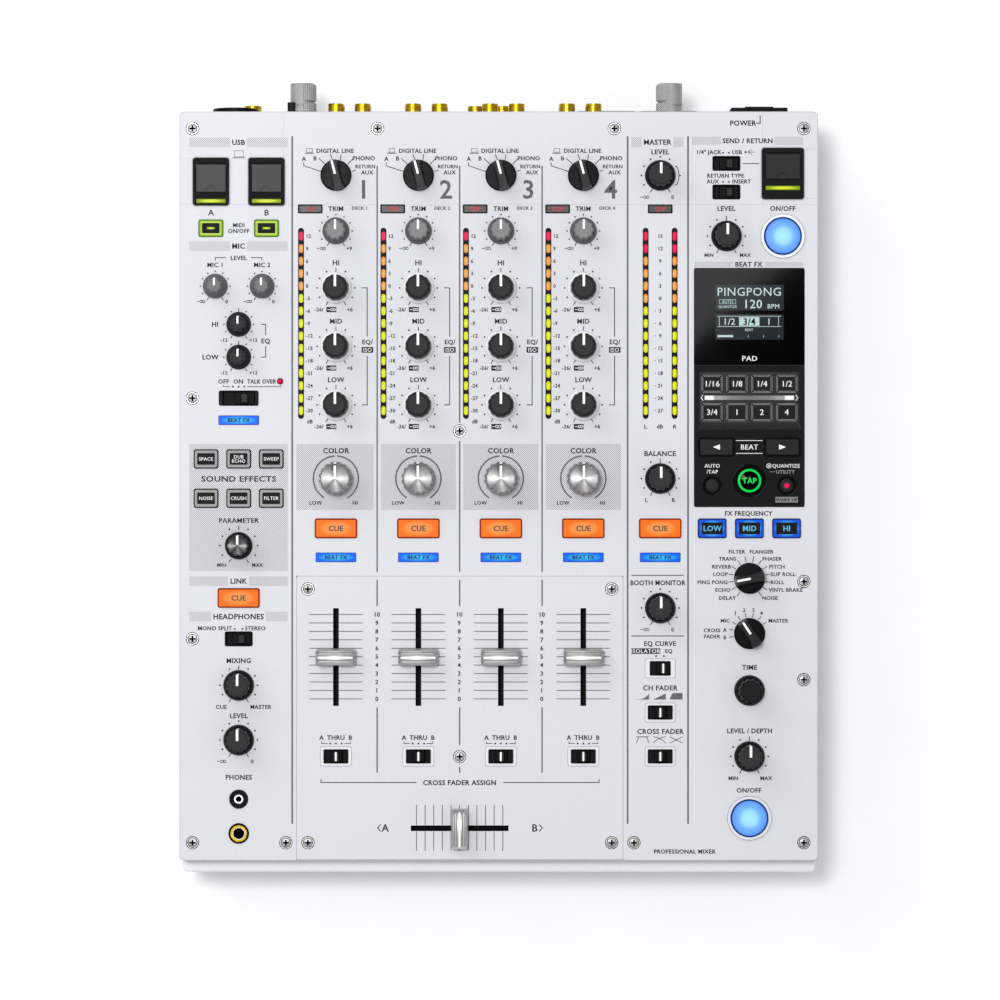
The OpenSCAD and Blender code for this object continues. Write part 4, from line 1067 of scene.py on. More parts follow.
THREE_WAY = [(x, -145.5, 12.9, 7.3, 15.7, 9.7, 0.0) for x in CHANNELS]
THREE_WAY += [(MASTER_X, y, 12.9, 7.3, 15.3, 9.6, 0.0) for y in (-122.6, -145.5)]
TWO_WAY = [(LEFT_X, 41.3, 17.0, 7.3, 20.7, 7.9, 3.0), (LEFT_X, -84.2, 13.7, 6.9, 14.5, 7.7, 1.5),
           (118.7, 163.7, 13.7, 6.9, 14.5, 7.7, 1.5), (118.7, 148.8, 13.7, 6.9, 14.5, 7.7, 1.5),
           (MASTER_X, -99.6, 10.8, 7.5, 15.3, 9.6, 1.5)]


def slider(name, s, travel, node, marked=True):
    b = Build(at(s[0] + s[6], s[1]))
    w, d = s[2] - travel - 0.6, s[3] - 0.6
    b.slab(w, d, 0.6, 83, 88.1, ("slider", "slider"), edge=0.3)
    b.slab(3.9, d - 1.4, 0.4, 88, 90.9, ("slider", "grip"), edge=0.5)
    if marked:
        b.slab(0.95, d - 1.9, 0.2, 90.7, 90.97, "white_line")
    b.object(name, node, "slider_black", node)


for i, s in enumerate(THREE_WAY):
    slider(f"slider_a{i + 1}", s, 6.0, "three_way_switches")
for i, s in enumerate(TWO_WAY):
    slider(f"slider_b{i + 1}", s, 2 * s[6], "two_way_switches", marked=i == 4)

b = Build()
for x, y, w, d, fw, fd, rest in THREE_WAY + TWO_WAY:
    b.place = at(x, y)
    wide = fd > 9
    b.frame(fw + 0.06, fd + 0.06, 1.0, w + 0.02, d + 0.02, 0.6, 88.6, 89.26, "bezel" if wide else "black")
    if wide:
        # Painted shade: grey lines where the bezel meets the panel and round its slot.
        b.frame(fw + 0.9, fd + 0.9, 1.3, fw + 0.06, fd + 0.06, 1.0, 89.0, 89.05, "bezel_edge")
        b.frame(w + 0.6, d + 0.6, 0.8, w, d, 0.6, 89.2, 89.3, "bezel_edge")
b.object("switch_bezels", "housing", "white_panel")


# ---------------------------------------------------------------- lamps and meters

b = Build()
for x, y in [(c, -41.7) for c in COLUMNS] + [(LEFT_X, 29.8)]:
    b.place = at(x, y)
    b.slab(21.2, 5.0, 0.5, 88.6, 89.16, "lamp_edge")
    b.slab(20.5, 4.3, 0.3, 89.1, 89.24, "lamp")
    label(b, "BEAT FX", 0, 0, 2.0, "ink", z=89.27, weight=0.14, bold=0.06)
for x in CHANNELS:
    b.place = at(x - 13.4, 140)
    b.slab(12.9, 4.7, 0.6, 88.6, 89.16, "black")
    b.slab(11.3, 3.3, 0.4, 89.1, 89.22, "clip_window")
    label(b, "CLIP", 0, 0, 1.86, "red_text", z=89.24)
b.place = at(MASTER_X, 140)
b.slab(12.9, 4.7, 0.6, 88.6, 89.16, "black")
b.slab(11.3, 3.3, 0.4, 89.1, 89.22, "clip_window")
label(b, "CLIP", 0, 0, 1.86, "red_text", z=89.24)
b.place = at(LEFT_X + 21.6, 50.1)
b.turned([(1.45, 89.0), (1.4, 89.3), (1.1, 89.6), (0.5, 89.75), (0.02, 89.78)], "red_led", n=24)
b.object("lamp_lenses", "housing", "gloss_black")

b = Build()
LEDS = ["red_led"] + ["orange_led"] * 4 + ["yellow_led"] * 10
MASTER_LEDS = ["red_led"] * 2 + ["orange_led"] * 4 + ["yellow_led"] * 9
for x, lights in [(c - 18.2, LEDS) for c in CHANNELS] + [(MASTER_X - 7.6, MASTER_LEDS),
                                                         (MASTER_X + 7.5, MASTER_LEDS)]:
    b.place = at(x, 80.3)
    b.slab(3.3, 100.0, 1.62, 88.5, 89.06, "black")
    b.frame(3.9, 100.5, 0.3, 3.1, 99.7, 1.54, 88.95, 89.07, "panel", n=6)
    for i, light in enumerate(lights):
        b.place = at(x, 125.8 - 6.5 * i)
        b.slab(2.2, 4.56, 1.05, 89.0, 89.16, light, n=5)
b.object("level_meters", "housing", "gloss_black")

b = Build()
for x, y in ((148.1, 125.8), (FX_X, -177.7)):
    b.place = at(x, y)
    b.ring(11.55, 9.95, 88.8, 89.97, "clear_ring", n=72, edge=0.25)
b.place = at(FX_X, -1.7)
b.ring(9.25, 6.35, 89.0, 89.97, "pit", n=64, edge=0.45)
# Painted highlight: light arcs on the dark ring round the TAP button.
for start, end in ((100, 165), (285, 340)):
    b.stroke(arc(0, 0, 8.5, start, end), 0.35, "grip", 89.9, 90.0)
for x in (FX_X - 19.4, FX_X + 19.4):
    b.place = at(x, -4.3)
    # Painted shade: a near-black ring for the recess round each small button.
    b.ring(5.1, 4.65, 89.0, 89.75, "pit", n=48, edge=0.1)
    # Painted highlight: a light arc on the dark ring round each small button.
    b.stroke(arc(0, 0, 4.9, 100, 170), 0.25, "grip", 89.7, 89.8)
for x in (113.5, 147.9):
    b.place = at(x, 15.8)
    # Painted shade: a near-black frame in the gap round each button.
    b.frame(19.0, 10.1, 1.4, 17.9, 9.0, 1.0, 89.0, 89.6, "pit")
b.object("button_rings", "housing", "gloss_black")


# ---------------------------------------------------------------- printing on the panel

def marks(p, x, y, r, dots, size=0.475, ticks=None, top=None, width=0.45):
    """Dots at the given angles, slanting ticks at both ends, and perhaps a line at the top."""
    for a in dots:
        p.dot(*spot(x, y, r, a), size, "ink")
    if ticks:
        for a in (-150, 150):
            p.stroke([spot(x, y, ticks[0], a), spot(x, y, ticks[1], a)], width, "ink")
    if top:
        p.stroke([(x, y + top[0]), (x, y + top[1])], width, "ink")


SIDE_DOTS = [a for a in range(-120, 121, 30) if a]
ALL_DOTS = list(range(-120, 121, 30))


def big_marks(p, x, y, centre=True):
    marks(p, x, y, 9.8, SIDE_DOTS if centre else ALL_DOTS, ticks=(7.9, 10.3),
          top=(8.1, 10.4) if centre else None)


def infinity(p, x, y, size=1.0, mat="ink"):
    """A minus sign and two joined loops."""
    p.stroke([(x - 2.1 * size, y), (x - 0.7 * size, y)], 0.32, mat, INK, INK + 0.04)
    for side in (-1, 1):
        centre = x + (1.15 + side * 0.76) * size
        p.stroke(arc(centre, y, 0.68 * size, 0, 360, 24), 0.32, mat, INK, INK + 0.04)


def box_line(p, x, y, w, d, width, mat, r=0.3, z=INK):
    p.place, keep = p.place @ at(x, y), p.place
    p.frame(w, d, r, w - 2 * width, d - 2 * width, max(0.05, r - width), z - 0.03, z, mat)
    p.place = keep


def plate(p, x, y, w, d, mat, r=0.3, z=INK):
    p.place, keep = p.place @ at(x, y), p.place
    p.slab(w, d, r, z - 0.03, z, mat)
    p.place = keep


def printed(p, name, body="housing", slot="white_panel"):
    return p.object(name, body, slot)


dots = Build()
DOTS_TOP = PANEL + 0.02


def band(p, text, x, y, w, d, cap):
    """A strip of dots on both sides of a title."""
    label(p, text, x, y, cap)
    reach = max(v[0] for v in lettering(text, cap, "CENTER", cap * 0.03, 0.99)[0]) + 1.0
    side = w / 2 - reach
    for sign in (-1, 1):
        plate(dots, x + sign * (reach + side / 2), y, side, d, "halftone", 0.1, DOTS_TOP)


def dotted_round_buttons():
    """The dots behind the sound buttons, as strips that leave each button's opening free."""
    left, right, low, high = -161.4, -110.1, -48.8, 17.45
    half_w, half_d = 6.5, 5.05
    columns = [left, *[LEFT_X + dx + s * half_w for dx in (-17, 0, 17) for s in (-1, 1)], right]
    edges = [low, *[y + s * half_d for y in (-10.9, 9.6) for s in (-1, 1)], high]
    for j, (y0, y1) in enumerate(zip(edges, edges[1:])):
        spans = zip(columns[::2], columns[1::2]) if j % 2 else [(left, right)]
        for x0, x1 in spans:
            plate(dots, (x0 + x1) / 2, (y0 + y1) / 2, x1 - x0, y1 - y0, "halftone", 0.01, DOTS_TOP)


# Left column.
p = Build()
band(p, "USB", -135.75, 174.7, 51.3, 5.06, 2.6)
for i, x in enumerate((-150.05, -121.1)):
    label(p, "AB"[i], x, 138.1, 3.0, bold=0.05)
box_line(p, LEFT_X + 0.1, 168.8, 5.0, 3.4, 0.3, "ink_pale", 0.3)
p.stroke([(LEFT_X - 3.1, 166.7), (LEFT_X + 3.3, 166.7)], 0.5, "ink_pale")
label(p, "MIDI", LEFT_X, 131.5, 2.0)
label(p, "ON/OFF", LEFT_X, 128.5, 2.0)
band(p, "MIC", -135.75, 120.6, 51.3, 5.06, 2.6)
label(p, "LEVEL", LEFT_X, 114.4, 2.16)
p.stroke([(-147.8, 113), (-147.8, 114.6), (-142.2, 114.6)], 0.4, "ink")
p.stroke([(-123.5, 113), (-123.5, 114.6), (-129.2, 114.6)], 0.4, "ink")
for i, x in enumerate((LEFT_X - 12.2, LEFT_X + 12.2)):
    label(p, f"MIC {i + 1}", x, 110.8, 2.25)
    marks(p, x, 99.7, 7.75, ALL_DOTS, 0.4, (6.7, 8.5))
    infinity(p, x - 7.8, 99.7 - 8.0, 0.95)
    label(p, "0", x + 5.9, 99.7 - 8.0, 1.86)
for y, text in ((79.8, "HI"), (62.7, "LOW")):
    label(p, text, LEFT_X - 10.6, y, 2.4, align="RIGHT")
    marks(p, LEFT_X, y, 7.75, SIDE_DOTS, 0.4, (6.7, 8.5), (6.5, 8.3))
    label(p, "-12", LEFT_X - 7.65, y - 8.2, 1.75)
    label(p, "+12", LEFT_X + 7.65, y - 8.2, 1.75)
x = LEFT_X + 14.05
p.stroke([(LEFT_X + 11.7, 79.8), (x, 79.8), (x, 74)], 0.45, "ink")
p.stroke([(LEFT_X + 11.7, 62.7), (x, 62.7), (x, 68.5)], 0.45, "ink")
label(p, "EQ", x, 71.1, 2.4)
label(p, "OFF", -143.5, 50, 2.16)
label(p, "ON", -135.8, 50, 2.16)
label(p, "TALK OVER", -123.7, 50, 2.16, stretch=0.86)
p.stroke([(-143.6, 48), (-143.6, 47.3), (-140.2, 47.3)], 0.35, "ink")
for x in (-138.65, -135.66, -132.7):
    p.dot(x, 47.3, 0.5, "ink")
p.stroke([(-131.2, 47.3), (-113.7, 47.3), (-113.7, 48)], 0.35, "ink")
dotted_round_buttons()
label(p, "SOUND EFFECTS", LEFT_X, -0.8, 2.8, stretch=1.2)
label(p, "PARAMETER", LEFT_X, -22.5, 2.3, stretch=1.08)
big_marks(p, LEFT_X, -35.6)
label(p, "MIN", LEFT_X - 8.9, -45.7, 1.77)
label(p, "MAX", LEFT_X + 9.7, -45.7, 1.77)
band(p, "LINK", -135.75, -54.1, 51.3, 5.06, 2.6)
band(p, "HEADPHONES", -135.75, -72.6, 51.3, 5.06, 2.7)
label(p, "MONO SPLIT", -139.2, -78.7, 2.0, align="RIGHT")
label(p, "STEREO", -132.3, -78.7, 2.0, align="LEFT")
for x in (-137.65, -133.7):
    p.dot(x, -79.05, 0.5, "ink")
label(p, "MIXING", LEFT_X, -95.6, 2.42)
big_marks(p, LEFT_X, -108.4)
label(p, "CUE", LEFT_X - 6.2, -119.7, 2.0, align="RIGHT")
label(p, "MASTER", LEFT_X + 6.0, -119.7, 2.0, align="LEFT")
label(p, "LEVEL", LEFT_X, -124.3, 2.4)
big_marks(p, LEFT_X, -136.9, False)
infinity(p, LEFT_X - 9.2, -148.1)
label(p, "0", LEFT_X + 7, -148.1, 1.9)
label(p, "PHONES", LEFT_X, -156.4, 2.4)
printed(p, "print_left")

# Channel strips.
p = Build()
for i, x in enumerate(CHANNELS):
    y = 157.4
    box_line(p, x - 13.8, 170.5, 3.2, 2.1, 0.25, "ink", 0.2)
    p.stroke([(x - 16.2, 169.0), (x - 11.4, 169.0)], 0.4, "ink")
    label(p, "DIGITAL", x - 4.2, 170.3, 2.1, stretch=1.0)
    label(p, "LINE", x + 6.1, 170.3, 2.1)
    label(p, "A", x - 16.7, 166.1, 2.1)
    label(p, "B", x - 10.9, 166.3, 2.1)
    label(p, "PHONO", x + 14.5, 166.4, 2.1, stretch=1.0)
    label(p, "RETURN", x + 15.3, 162.1, 1.8, stretch=1.0)
    label(p, "AUX", x + 19.4, 159, 2.0, align="RIGHT")
    for line in (((-9, 9), (-5.6, 5.9)), ((-2.9, 11.1), (-1.8, 8.3)), ((2.7, 11.1), (2.3, 8.1)),
                 ((8.8, 8.7), (6.2, 5.9)), ((10.4, 2.8), (8.4, 2.2)), ((-16.8, 6.9), (-16.8, 5.1),
                                                                       (-7.8, 2.1))):
        p.stroke([(x + a, y + b) for a, b in line], 0.4, "ink")
    p.words(str(i + 1), x + 14.4, 150.15, 9.3, "ink_soft", bold=0.2, stretch=1.0)
    label(p, "TRIM", x, 140.1, 2.33)
    label(p, f"DECK {i + 1}", x + 12.4, 140.4, 1.6)
    marks(p, x, 128.5, 8.5, ALL_DOTS, 0.42, (7.0, 9.0))
    infinity(p, x - 7.9, 128.5 - 9.1)
    label(p, "+9", x + 6.9, 128.5 - 9.1, 1.75)
    for text, y in (("HI", 98.8), ("MID", 68.3), ("LOW", 37.8)):
        label(p, text, x, y + 13.1, 2.46)
        big_marks(p, x, y)
        label(p, "-26/", x - 8.85, y - 11.3, 1.85)
        plate(p, x - 2.4, y - 11.3, 5.2, 2.75, "ink", 0.2)
        infinity(p, x - 2.5, y - 11.3, 0.9, "ink_white")
        label(p, "+6", x + 7.2, y - 11.3, 1.9)
    side = x + 16.3
    p.stroke([(x + 13.4, 98.8), (side, 98.8), (side, 73.4)], 0.45, "ink")
    p.stroke([(x + 13.4, 37.8), (side, 37.8), (side, 63.4)], 0.45, "ink")
    label(p, "EQ/", x + 16.4, 70.6, 2.3)
    plate(p, x + 16.4, 66.5, 6.05, 3.0, "ink", 0.2)
    meter = x - 18.2
    for j, text in enumerate(("12", "9", "6", "3", "0", "-3", "-6", "-9", "-12", "-15", "-18", "-21",
                              "-24", "-27",
                              "-30")):
        label(p, text, meter + 2.5, 125.8 - 6.5 * j, 1.86, align="LEFT", stretch=0.95)
    label(p, "dB", meter + 4.6, 29.1, 1.86)
    label(p, "COLOR", x, 13.9, 2.6)
    for sign in (-1, 1):
        p.stroke(arc(x, -0.6, 11.75, sign * 3, sign * 149), 0.8, "ink_soft")
    label(p, "LOW", x - 10.6, -13.3, 1.86)
    label(p, "HI", x + 10, -13.3, 1.86)
    left, right = x - (20.6 if i == 0 else 19.6), x + 19.6
    plate(dots, (left + right) / 2, 0.22, right - left, 34.45, "halftone", 0.1, DOTS_TOP)
    for j in range(11):
        y = -71.5 - 4.4 * j
        for sign in (-1, 1):
            p.stroke([(x + sign * 14.0, y), (x + sign * 1.55, y)], 0.42, "ink_soft")
        if i < 3:
            label(p, str(10 - j), x + 21.3, y, 2.2)
    for text, dx in (("A", -7.5), ("THRU", 0), ("B", 7.5)):
        label(p, text, x + dx, -135.7, 2.3)
    p.stroke([(x - 7.5, -137.7), (x - 7.5, -138.8), (x - 4.4, -138.8)], 0.35, "ink")
    p.stroke([(x + 7.5, -137.7), (x + 7.5, -138.8), (x + 4.4, -138.8)], 0.35, "ink")
    for dx in (-2.95, 0, 2.95):
        p.dot(x + dx, -138.8, 0.5, "ink")
for x in DIVIDERS[1:4]:
    if x == -20.4:
        p.stroke([(x, 162.5), (x, 28.5)], 0.7, "ink_soft")
        p.stroke([(x, 18.9), (x, -49.3)], 0.7, "ink_soft")
        spans = ((-53.4, -67.1), (-120, -139.6), (-151, -154))
    else:
        p.stroke([(x, 162.5), (x, -49.3)], 0.7, "ink_soft")
        spans = ((-53.4, -67.1), (-120, -154))
    for high, low in spans:
        p.stroke([(x, high), (x, low)], 0.7, "ink_soft")
label(p, "CROSS FADER ASSIGN", -20.4, -159.2, 2.5)
p.stroke([(-92.7, -157.3), (-92.7, -159.1), (-42.9, -159.1)], 0.45, "ink")
p.stroke([(52.3, -157.3), (52.3, -159.1), (2.3, -159.1)], 0.45, "ink")
for j in range(11):
    x = -20.4 + 4.5 * (j - 5)
    for high, low in ((-170.8, -181.4), (-184.6, -194.8)):
        p.stroke([(x, high), (x, low)], 0.42, "ink_soft")
label(p, "A", -59.2, -182.8, 3.7, bold=0.06)
label(p, "B", 18.7, -182.8, 3.7, bold=0.06)
for x, side in ((-62.3, -1), (21.9, 1)):
    tip = [(x - side * 0.8, -181.0), (x + side * 0.9, -182.8), (x - side * 0.8, -184.6)]
    p.stroke(tip, 0.5, "ink")
printed(p, "print_channels")

# Master column.
p = Build()
band(p, "MASTER", 82.7, 174.8, 27.0, 5.1, 2.6)
label(p, "LEVEL", MASTER_X, 169.7, 2.4)
x, y = MASTER_X, 157.4
marks(p, x, y, 9.8, [a for a in ALL_DOTS if a < 60], ticks=(7.9, 10.3))
p.stroke([spot(x, y, 8.9, 60)] + arc(x, y, 9.8, 60, 120) + [spot(x, y, 8.9, 120)], 0.4, "ink")
p.stroke([spot(x, y, 9.8, 90), spot(x, y, 11.0, 90)], 0.4, "ink")
infinity(p, x - 8.4, y - 11.3)
label(p, "0", x + 6.4, y - 11.3, 1.9)
for j, text in enumerate(("15", "12", "9", "6", "3", "0", "3", "6", "9", "12", "15", "18", "21", "24", "27")):
    label(p, text, 84.2, 125.8 - 6.5 * j, 1.86, stretch=0.95)
    if j > 5:
        p.stroke([(81.0, 125.8 - 6.5 * j), (82.0, 125.8 - 6.5 * j)], 0.25, "ink")
for text, x in (("L", 76.5), ("dB", 84), ("R", 91.7)):
    label(p, text, x, 26.5, 2.0)
label(p, "BALANCE", 84.1, 12.4, 2.5)
big_marks(p, MASTER_X, -0.6)
label(p, "L", MASTER_X - 7.2, -11.9, 2.0)
label(p, "R", MASTER_X + 6.9, -11.9, 2.0)
p.stroke([(69.2, -51.1), (96.5, -51.1)], 0.55, "ink_soft")
label(p, "BOOTH MONITOR", 82.9, -55, 2.5, stretch=0.88)
big_marks(p, MASTER_X, -68.1, False)
infinity(p, MASTER_X - 8.4, -79.4)
label(p, "0", MASTER_X + 6.4, -79.4, 1.9)
p.stroke([(69.2, -82.7), (96.5, -82.7)], 0.55, "ink_soft")
label(p, "EQ CURVE", 84.05, -86.7, 2.33)
plate(p, 76.6, -90.6, 15.2, 2.9, "ink", 0.2)
label(p, "ISOLATOR", 76.6, -90.6, 1.95, "ink_white", z=INK + 0.03, stretch=1.08)
label(p, "EQ", 88.6, -90.6, 1.96)
for x in (82.05, 86.15):
    p.dot(x, -93.2, 0.52, "ink")
label(p, "CH FADER", MASTER_X, -109.8, 2.5)
label(p, "CROSS FADER", MASTER_X, -132.5, 2.5)
for i, x in enumerate((75.05, 83.8, 92.5)):
    power = (3.0, 1.0, 0.0)[i]
    rise = [(-3.3 + 6.6 * t / 8, 3.0 * (t / 8) ** power if power else min(3.3,
                                                                          3.3 * t / 1.5)) for t in range(9)]
    body = [(x + 3.3, -115.85), *[(x + a, -115.75 + b) for a, b in reversed(rise)], (x - 3.3, -115.85)]
    p.loft([(body, INK - 0.03), (body, INK)], "ink_soft")
    for sign in (1, -1):
        path = [(-3.3, 1.6), (2.0, 1.6), (3.3, -1.6)] if i == 0 else \
               [(-3.3 + 6.6 * t / 8, 1.6 - 3.2 * (t / 8) ** (2.0 if i == 1 else 1.0)) for t in range(9)]
        p.stroke([(x + sign * a, -136.9 + b) for a, b in path], 0.4, "ink_soft")
printed(p, "print_master")

# Right column.
p = Build()
label(p, "POWER", 127.3, 184.7, 2.6)
p.stroke([(134.4, 184.7), (136.3, 184.7), (136.3, 188.7)], 0.5, "ink")
band(p, "SEND / RETURN", 129.8, 175.5, 58.0, 4.0, 2.4)
label(p, '1/4" JACK', 109.5, 169.6, 2.0, stretch=1.0)
label(p, "USB", 124.2, 169.6, 2.0)
for x in (117, 120):
    p.dot(x, 169.3, 0.5, "ink")
p.stroke([(128.2, 169.6), (133.6, 169.6)], 0.3, "ink")
p.dot(128.6, 169.6, 0.55, "ink")
p.stroke([(129.8, 169.6), (131, 170.7), (132.2, 170.7)], 0.28, "ink")
p.stroke([(130.3, 169.6), (131.4, 168.5), (132.2, 168.5)], 0.28, "ink")
p.stroke([(127.1, 163.6), (135.8, 163.6)], 0.4, "ink")
label(p, "RETURN TYPE", 118.2, 157.3, 2.0)
label(p, "AUX", 111.6, 154.3, 2.0)
label(p, "INSERT", 126.6, 154.3, 2.0)
for x in (117, 120):
    p.dot(x, 154.1, 0.5, "ink")
label(p, "LEVEL", 118.6, 140.2, 2.4)
label(p, "ON/OFF", 148.1, 140.2, 2.4)
big_marks(p, 118.7, 125.8)
label(p, "MIN", 118.7 - 9.1, 115.9, 1.77)
label(p, "MAX", 118.7 + 9.8, 115.9, 1.77)
band(p, "BEAT FX", 130.3, 111.1, 56.8, 2.6, 2.45)
label(p, "FX FREQUENCY", 130.2, -18.8, 2.27)
EFFECTS = [("FILTER", -6.6, 13.8, "CENTER"), ("TRANS", -6.9, 10.1, "RIGHT"), ("REVERB", -9.7, 6.0, "RIGHT"),
           ("LOOP", -11.3, 2.1, "RIGHT"), ("PING PONG", -11.3, -2.1, "RIGHT"), ("ECHO", -9.9, -6.1, "RIGHT"),
           ("DELAY", -7.1, -10.3, "RIGHT"), ("FLANGER", 6.3, 13.8, "CENTER"), ("PHASER", 6.7, 10.1, "LEFT"),
           ("PITCH", 10.3, 6.0, "LEFT"), ("SLIP ROLL", 11.1, 2.1, "LEFT"), ("ROLL", 11.1, -2.1, "LEFT"),
           ("VINYL BRAKE", 10.1, -6.1, "LEFT"), ("NOISE", 6.6, -10.3, "LEFT")]
for text, dx, dy, align in EFFECTS:
    label(p, text, FX_X + dx, -52.6 + dy, 1.86, align=align, stretch=1.02)
for i in range(14):
    a = -145.6 + 22.4 * i
    p.stroke([spot(FX_X, -52.6, 8.5, a), spot(FX_X, -52.6, 11.2 if abs(a) > 20 else 11.6, a)], 0.4, "ink")
for i in range(8):
    a = -100.8 + 22.4 * i
    p.stroke([spot(FX_X, -81.4, 8.5, a), spot(FX_X, -81.4, 10.7, a)], 0.4, "ink")
for text, dx, dy, align in (("1", -7.3, 10.6, "CENTER"), ("2", -2.7, 12.15, "CENTER"),
                            ("3", 2.1, 12.15, "CENTER"),
                            ("4", 6.3, 10.6, "CENTER"), ("MIC", -10.15, 6.66, "RIGHT"), ("MASTER", 9.9,
                                                                                         6.66, "LEFT"),
                            ("A", -12.8, 1.86, "CENTER"), ("B", -12.8, -2.05, "CENTER"),
                            ("CROSS", -19.5, 1.6, "CENTER"), ("FADER", -19.5, -1.6, "CENTER")):
    label(p, text, FX_X + dx, -81.4 + dy, 1.86, align=align, stretch=1.0)
label(p, "TIME", 130.8, -99.1, 2.42)
label(p, "LEVEL / DEPTH", 130.8, -132.2, 2.35)
big_marks(p, FX_X, -145.5)
label(p, "MIN", FX_X - 8.4, -156.9, 1.9)
label(p, "MAX", FX_X + 8.7, -156.9, 1.9)
label(p, "ON/OFF", 130.5, -163.2, 2.35)
label(p, "PROFESSIONAL MIXER", 96.9, -195.1, 2.1)
printed(p, "print_right")

p = Build()
for x in (DIVIDERS[0], DIVIDERS[4], DIVIDERS[5]):
    p.stroke([(x, 177.9), (x, -180.7)], 0.85, "ink_soft")
printed(p, "print_dividers")
p = Build()
for text, x, cap in (("ISO", 16.4, 2.0),):
    for c in CHANNELS:
        label(p, text, c + x, 66.5, cap, "ink_white", z=INK + 0.03)
printed(p, "print_reversed")
dots.object("print_halftone", "housing", "white_panel")


# ---------------------------------------------------------------- the effects panel

GLASS = PANEL + 0.3
PAD = GLASS + 0.06
p = Build()
outer = shift(rounded(57.2, 73.8, 0.9), 21.6, 130.65)
rim = shift(rounded(54.1, 31.6, 0.8), 40.75, 130.65)
floor = shift(rounded(51.8, 26.6, 0.5), 41.65, 130.65)
p.loft([(outer, GLASS - 0.1), (outer, PAD), (rim, PAD), (floor, 88.72), (floor, 88.6)],
       ["fx_low", "fx_low", "pad_bevel", "pad", "fx_low"], loop=True)
p.place = at(130.65, 41.65)
p.slab(51.8, 26.6, 0.5, 88.55, 88.74, "pad")
p.place = at(130.65, 21.6)
# Painted highlight: a thin lighter line round the effects panel's edge.
p.frame(57.4, 74.0, 0.9, 56.8, 73.4, 0.7, GLASS - 0.1, PAD + 0.02, "grip")
KEY = 89.06
for row, y in enumerate((48.8, 34.0)):
    for col in range(4):
        x = FX_X + (col - 1.5) * 13
        p.place = at(x, y)
        p.slab(11.06, 9.36, 0.9, 88.7, KEY, ("fx_low", "pad_key"), edge=0.08)
        for w, d in ((10.7, 9.0), (9.5, 7.8)):
            for k in range(9):
                along = (k - 4) / 4.5 * (w / 2 - 0.4)
                for sign in (-1, 1):
                    p.stroke([(along - 0.35, sign * d / 2), (along + 0.35, sign * d / 2)], 0.2, "dash",
                             KEY - 0.02, KEY + 0.02)
            for k in range(7):
                along = (k - 3) / 3.5 * (d / 2 - 0.4)
                for sign in (-1, 1):
                    p.stroke([(sign * w / 2, along - 0.33), (sign * w / 2, along + 0.33)], 0.2, "dash",
                             KEY - 0.02, KEY + 0.02)
        p.words((("1/16", "1/8", "1/4", "1/2"), ("3/4", "1", "2", "4"))[row][col], 0, 0, 2.9, "ink_white",
                z=KEY + 0.02, weight=0.1)
p.place = at(FX_X, 41.5)
p.slab(46.6, 2.2, 0.3, 88.7, KEY, "strip")
p.place = Matrix.Identity(4)
for sign in (-1, 1):
    tip = FX_X + sign * 25.2
    p.stroke([(tip - sign * 1.1, 43.0), (tip, 41.5), (tip - sign * 1.1, 40.0)], 0.35, "ink_white",
             KEY - 0.1, KEY + 0.02)
p.object("touch_pad", "housing", "gloss_black")

p = Build()
WORD = GLASS + 0.06


def screen_line(points, width, mat="oled"):
    p.stroke(points, width, mat, GLASS - 0.02, WORD)


for low_y, high_y in ((87.0, 100.35), (71.8, 85.1)):
    plate(p, 130.8, (low_y + high_y) / 2, 35.6, high_y - low_y, "screen", 0.3, GLASS + 0.02)
label(p, "PINGPONG", 130.6, 96.8, 4.2, "oled", z=WORD, stretch=1.02, bold=0.0, weight=0.0)
box_line(p, 119.3, 91.6, 8.7, 2.4, 0.2, "oled", 0.2, WORD)
label(p, "AUTO", 119.3, 91.6, 1.4, "oled", z=WORD)
label(p, "QUANTIZE", 119.3, 89.0, 1.3, "oled", z=WORD)
label(p, "120", 132.4, 90.4, 4.4, "oled", z=WORD)
label(p, "BPM", 143.2, 89.2, 2.3, "oled", z=WORD)
for y in (84.0, 78.65):
    screen_line([(113.9, y), (147.2, y)], 0.25)
for x in (115.0, 145.9):
    screen_line([(x, 83.6), (x, 79.0)], 0.25)
label(p, "1/2", 120.15, 81.2, 3.3, "oled", z=WORD)
plate(p, 130.6, 81.3, 10.6, 4.5, "oled", 0.2, WORD)
label(p, "3/4", 130.6, 81.2, 3.3, "pit", z=WORD + 0.03)
label(p, "1", 140.85, 81.2, 3.3, "oled", z=WORD)
label(p, "BEAT", 130.5, 76.95, 1.2, "oled", z=WORD)
plate(p, 118.1, 73.65, 7.8, 1.1, "oled", 0.1, WORD)
for i in range(5):
    screen_line([(114.2 + 7.95 * i, 73.0), (114.2 + 7.95 * i, 74.3)], 0.2)
label(p, "PAD", 130.8, 62.0, 2.55, "ink_white", z=WORD, stretch=1.1)
label(p, "BEAT", 130.65, 15.8, 2.6, "ink_white", z=PAD + 0.02)
for y in (12.5, 19.2):
    p.stroke([(123.7, y), (137.6, y)], 0.3, "ink_white", PAD, PAD + 0.03)
label(p, "AUTO", 111.3, 6.0, 1.9, "ink_white", z=PAD + 0.02)
label(p, "/TAP", 111.3, 2.9, 1.9, "ink_white", z=PAD + 0.02)
p.stroke(arc(140.85, 6.0, 1.15, 0, 360, 30), 0.3, "ink_white", PAD, PAD + 0.03)
p.dot(140.85, 6.0, 0.45, "ink_white", PAD, PAD + 0.03)
label(p, "QUANTIZE", 149.8, 6.0, 1.9, "ink_white", z=PAD + 0.02, stretch=1.0)
label(p, "UTILITY", 149.4, 2.9, 1.8, "ink_pale", z=PAD + 0.02, stretch=1.0)
p.stroke([(141.2, 2.9), (143.9, 2.9)], 0.3, "ink_pale", PAD, PAD + 0.03)
plate(p, 150.1, -11.65, 11.7, 2.9, "ink_pale", 0.3, PAD + 0.03)
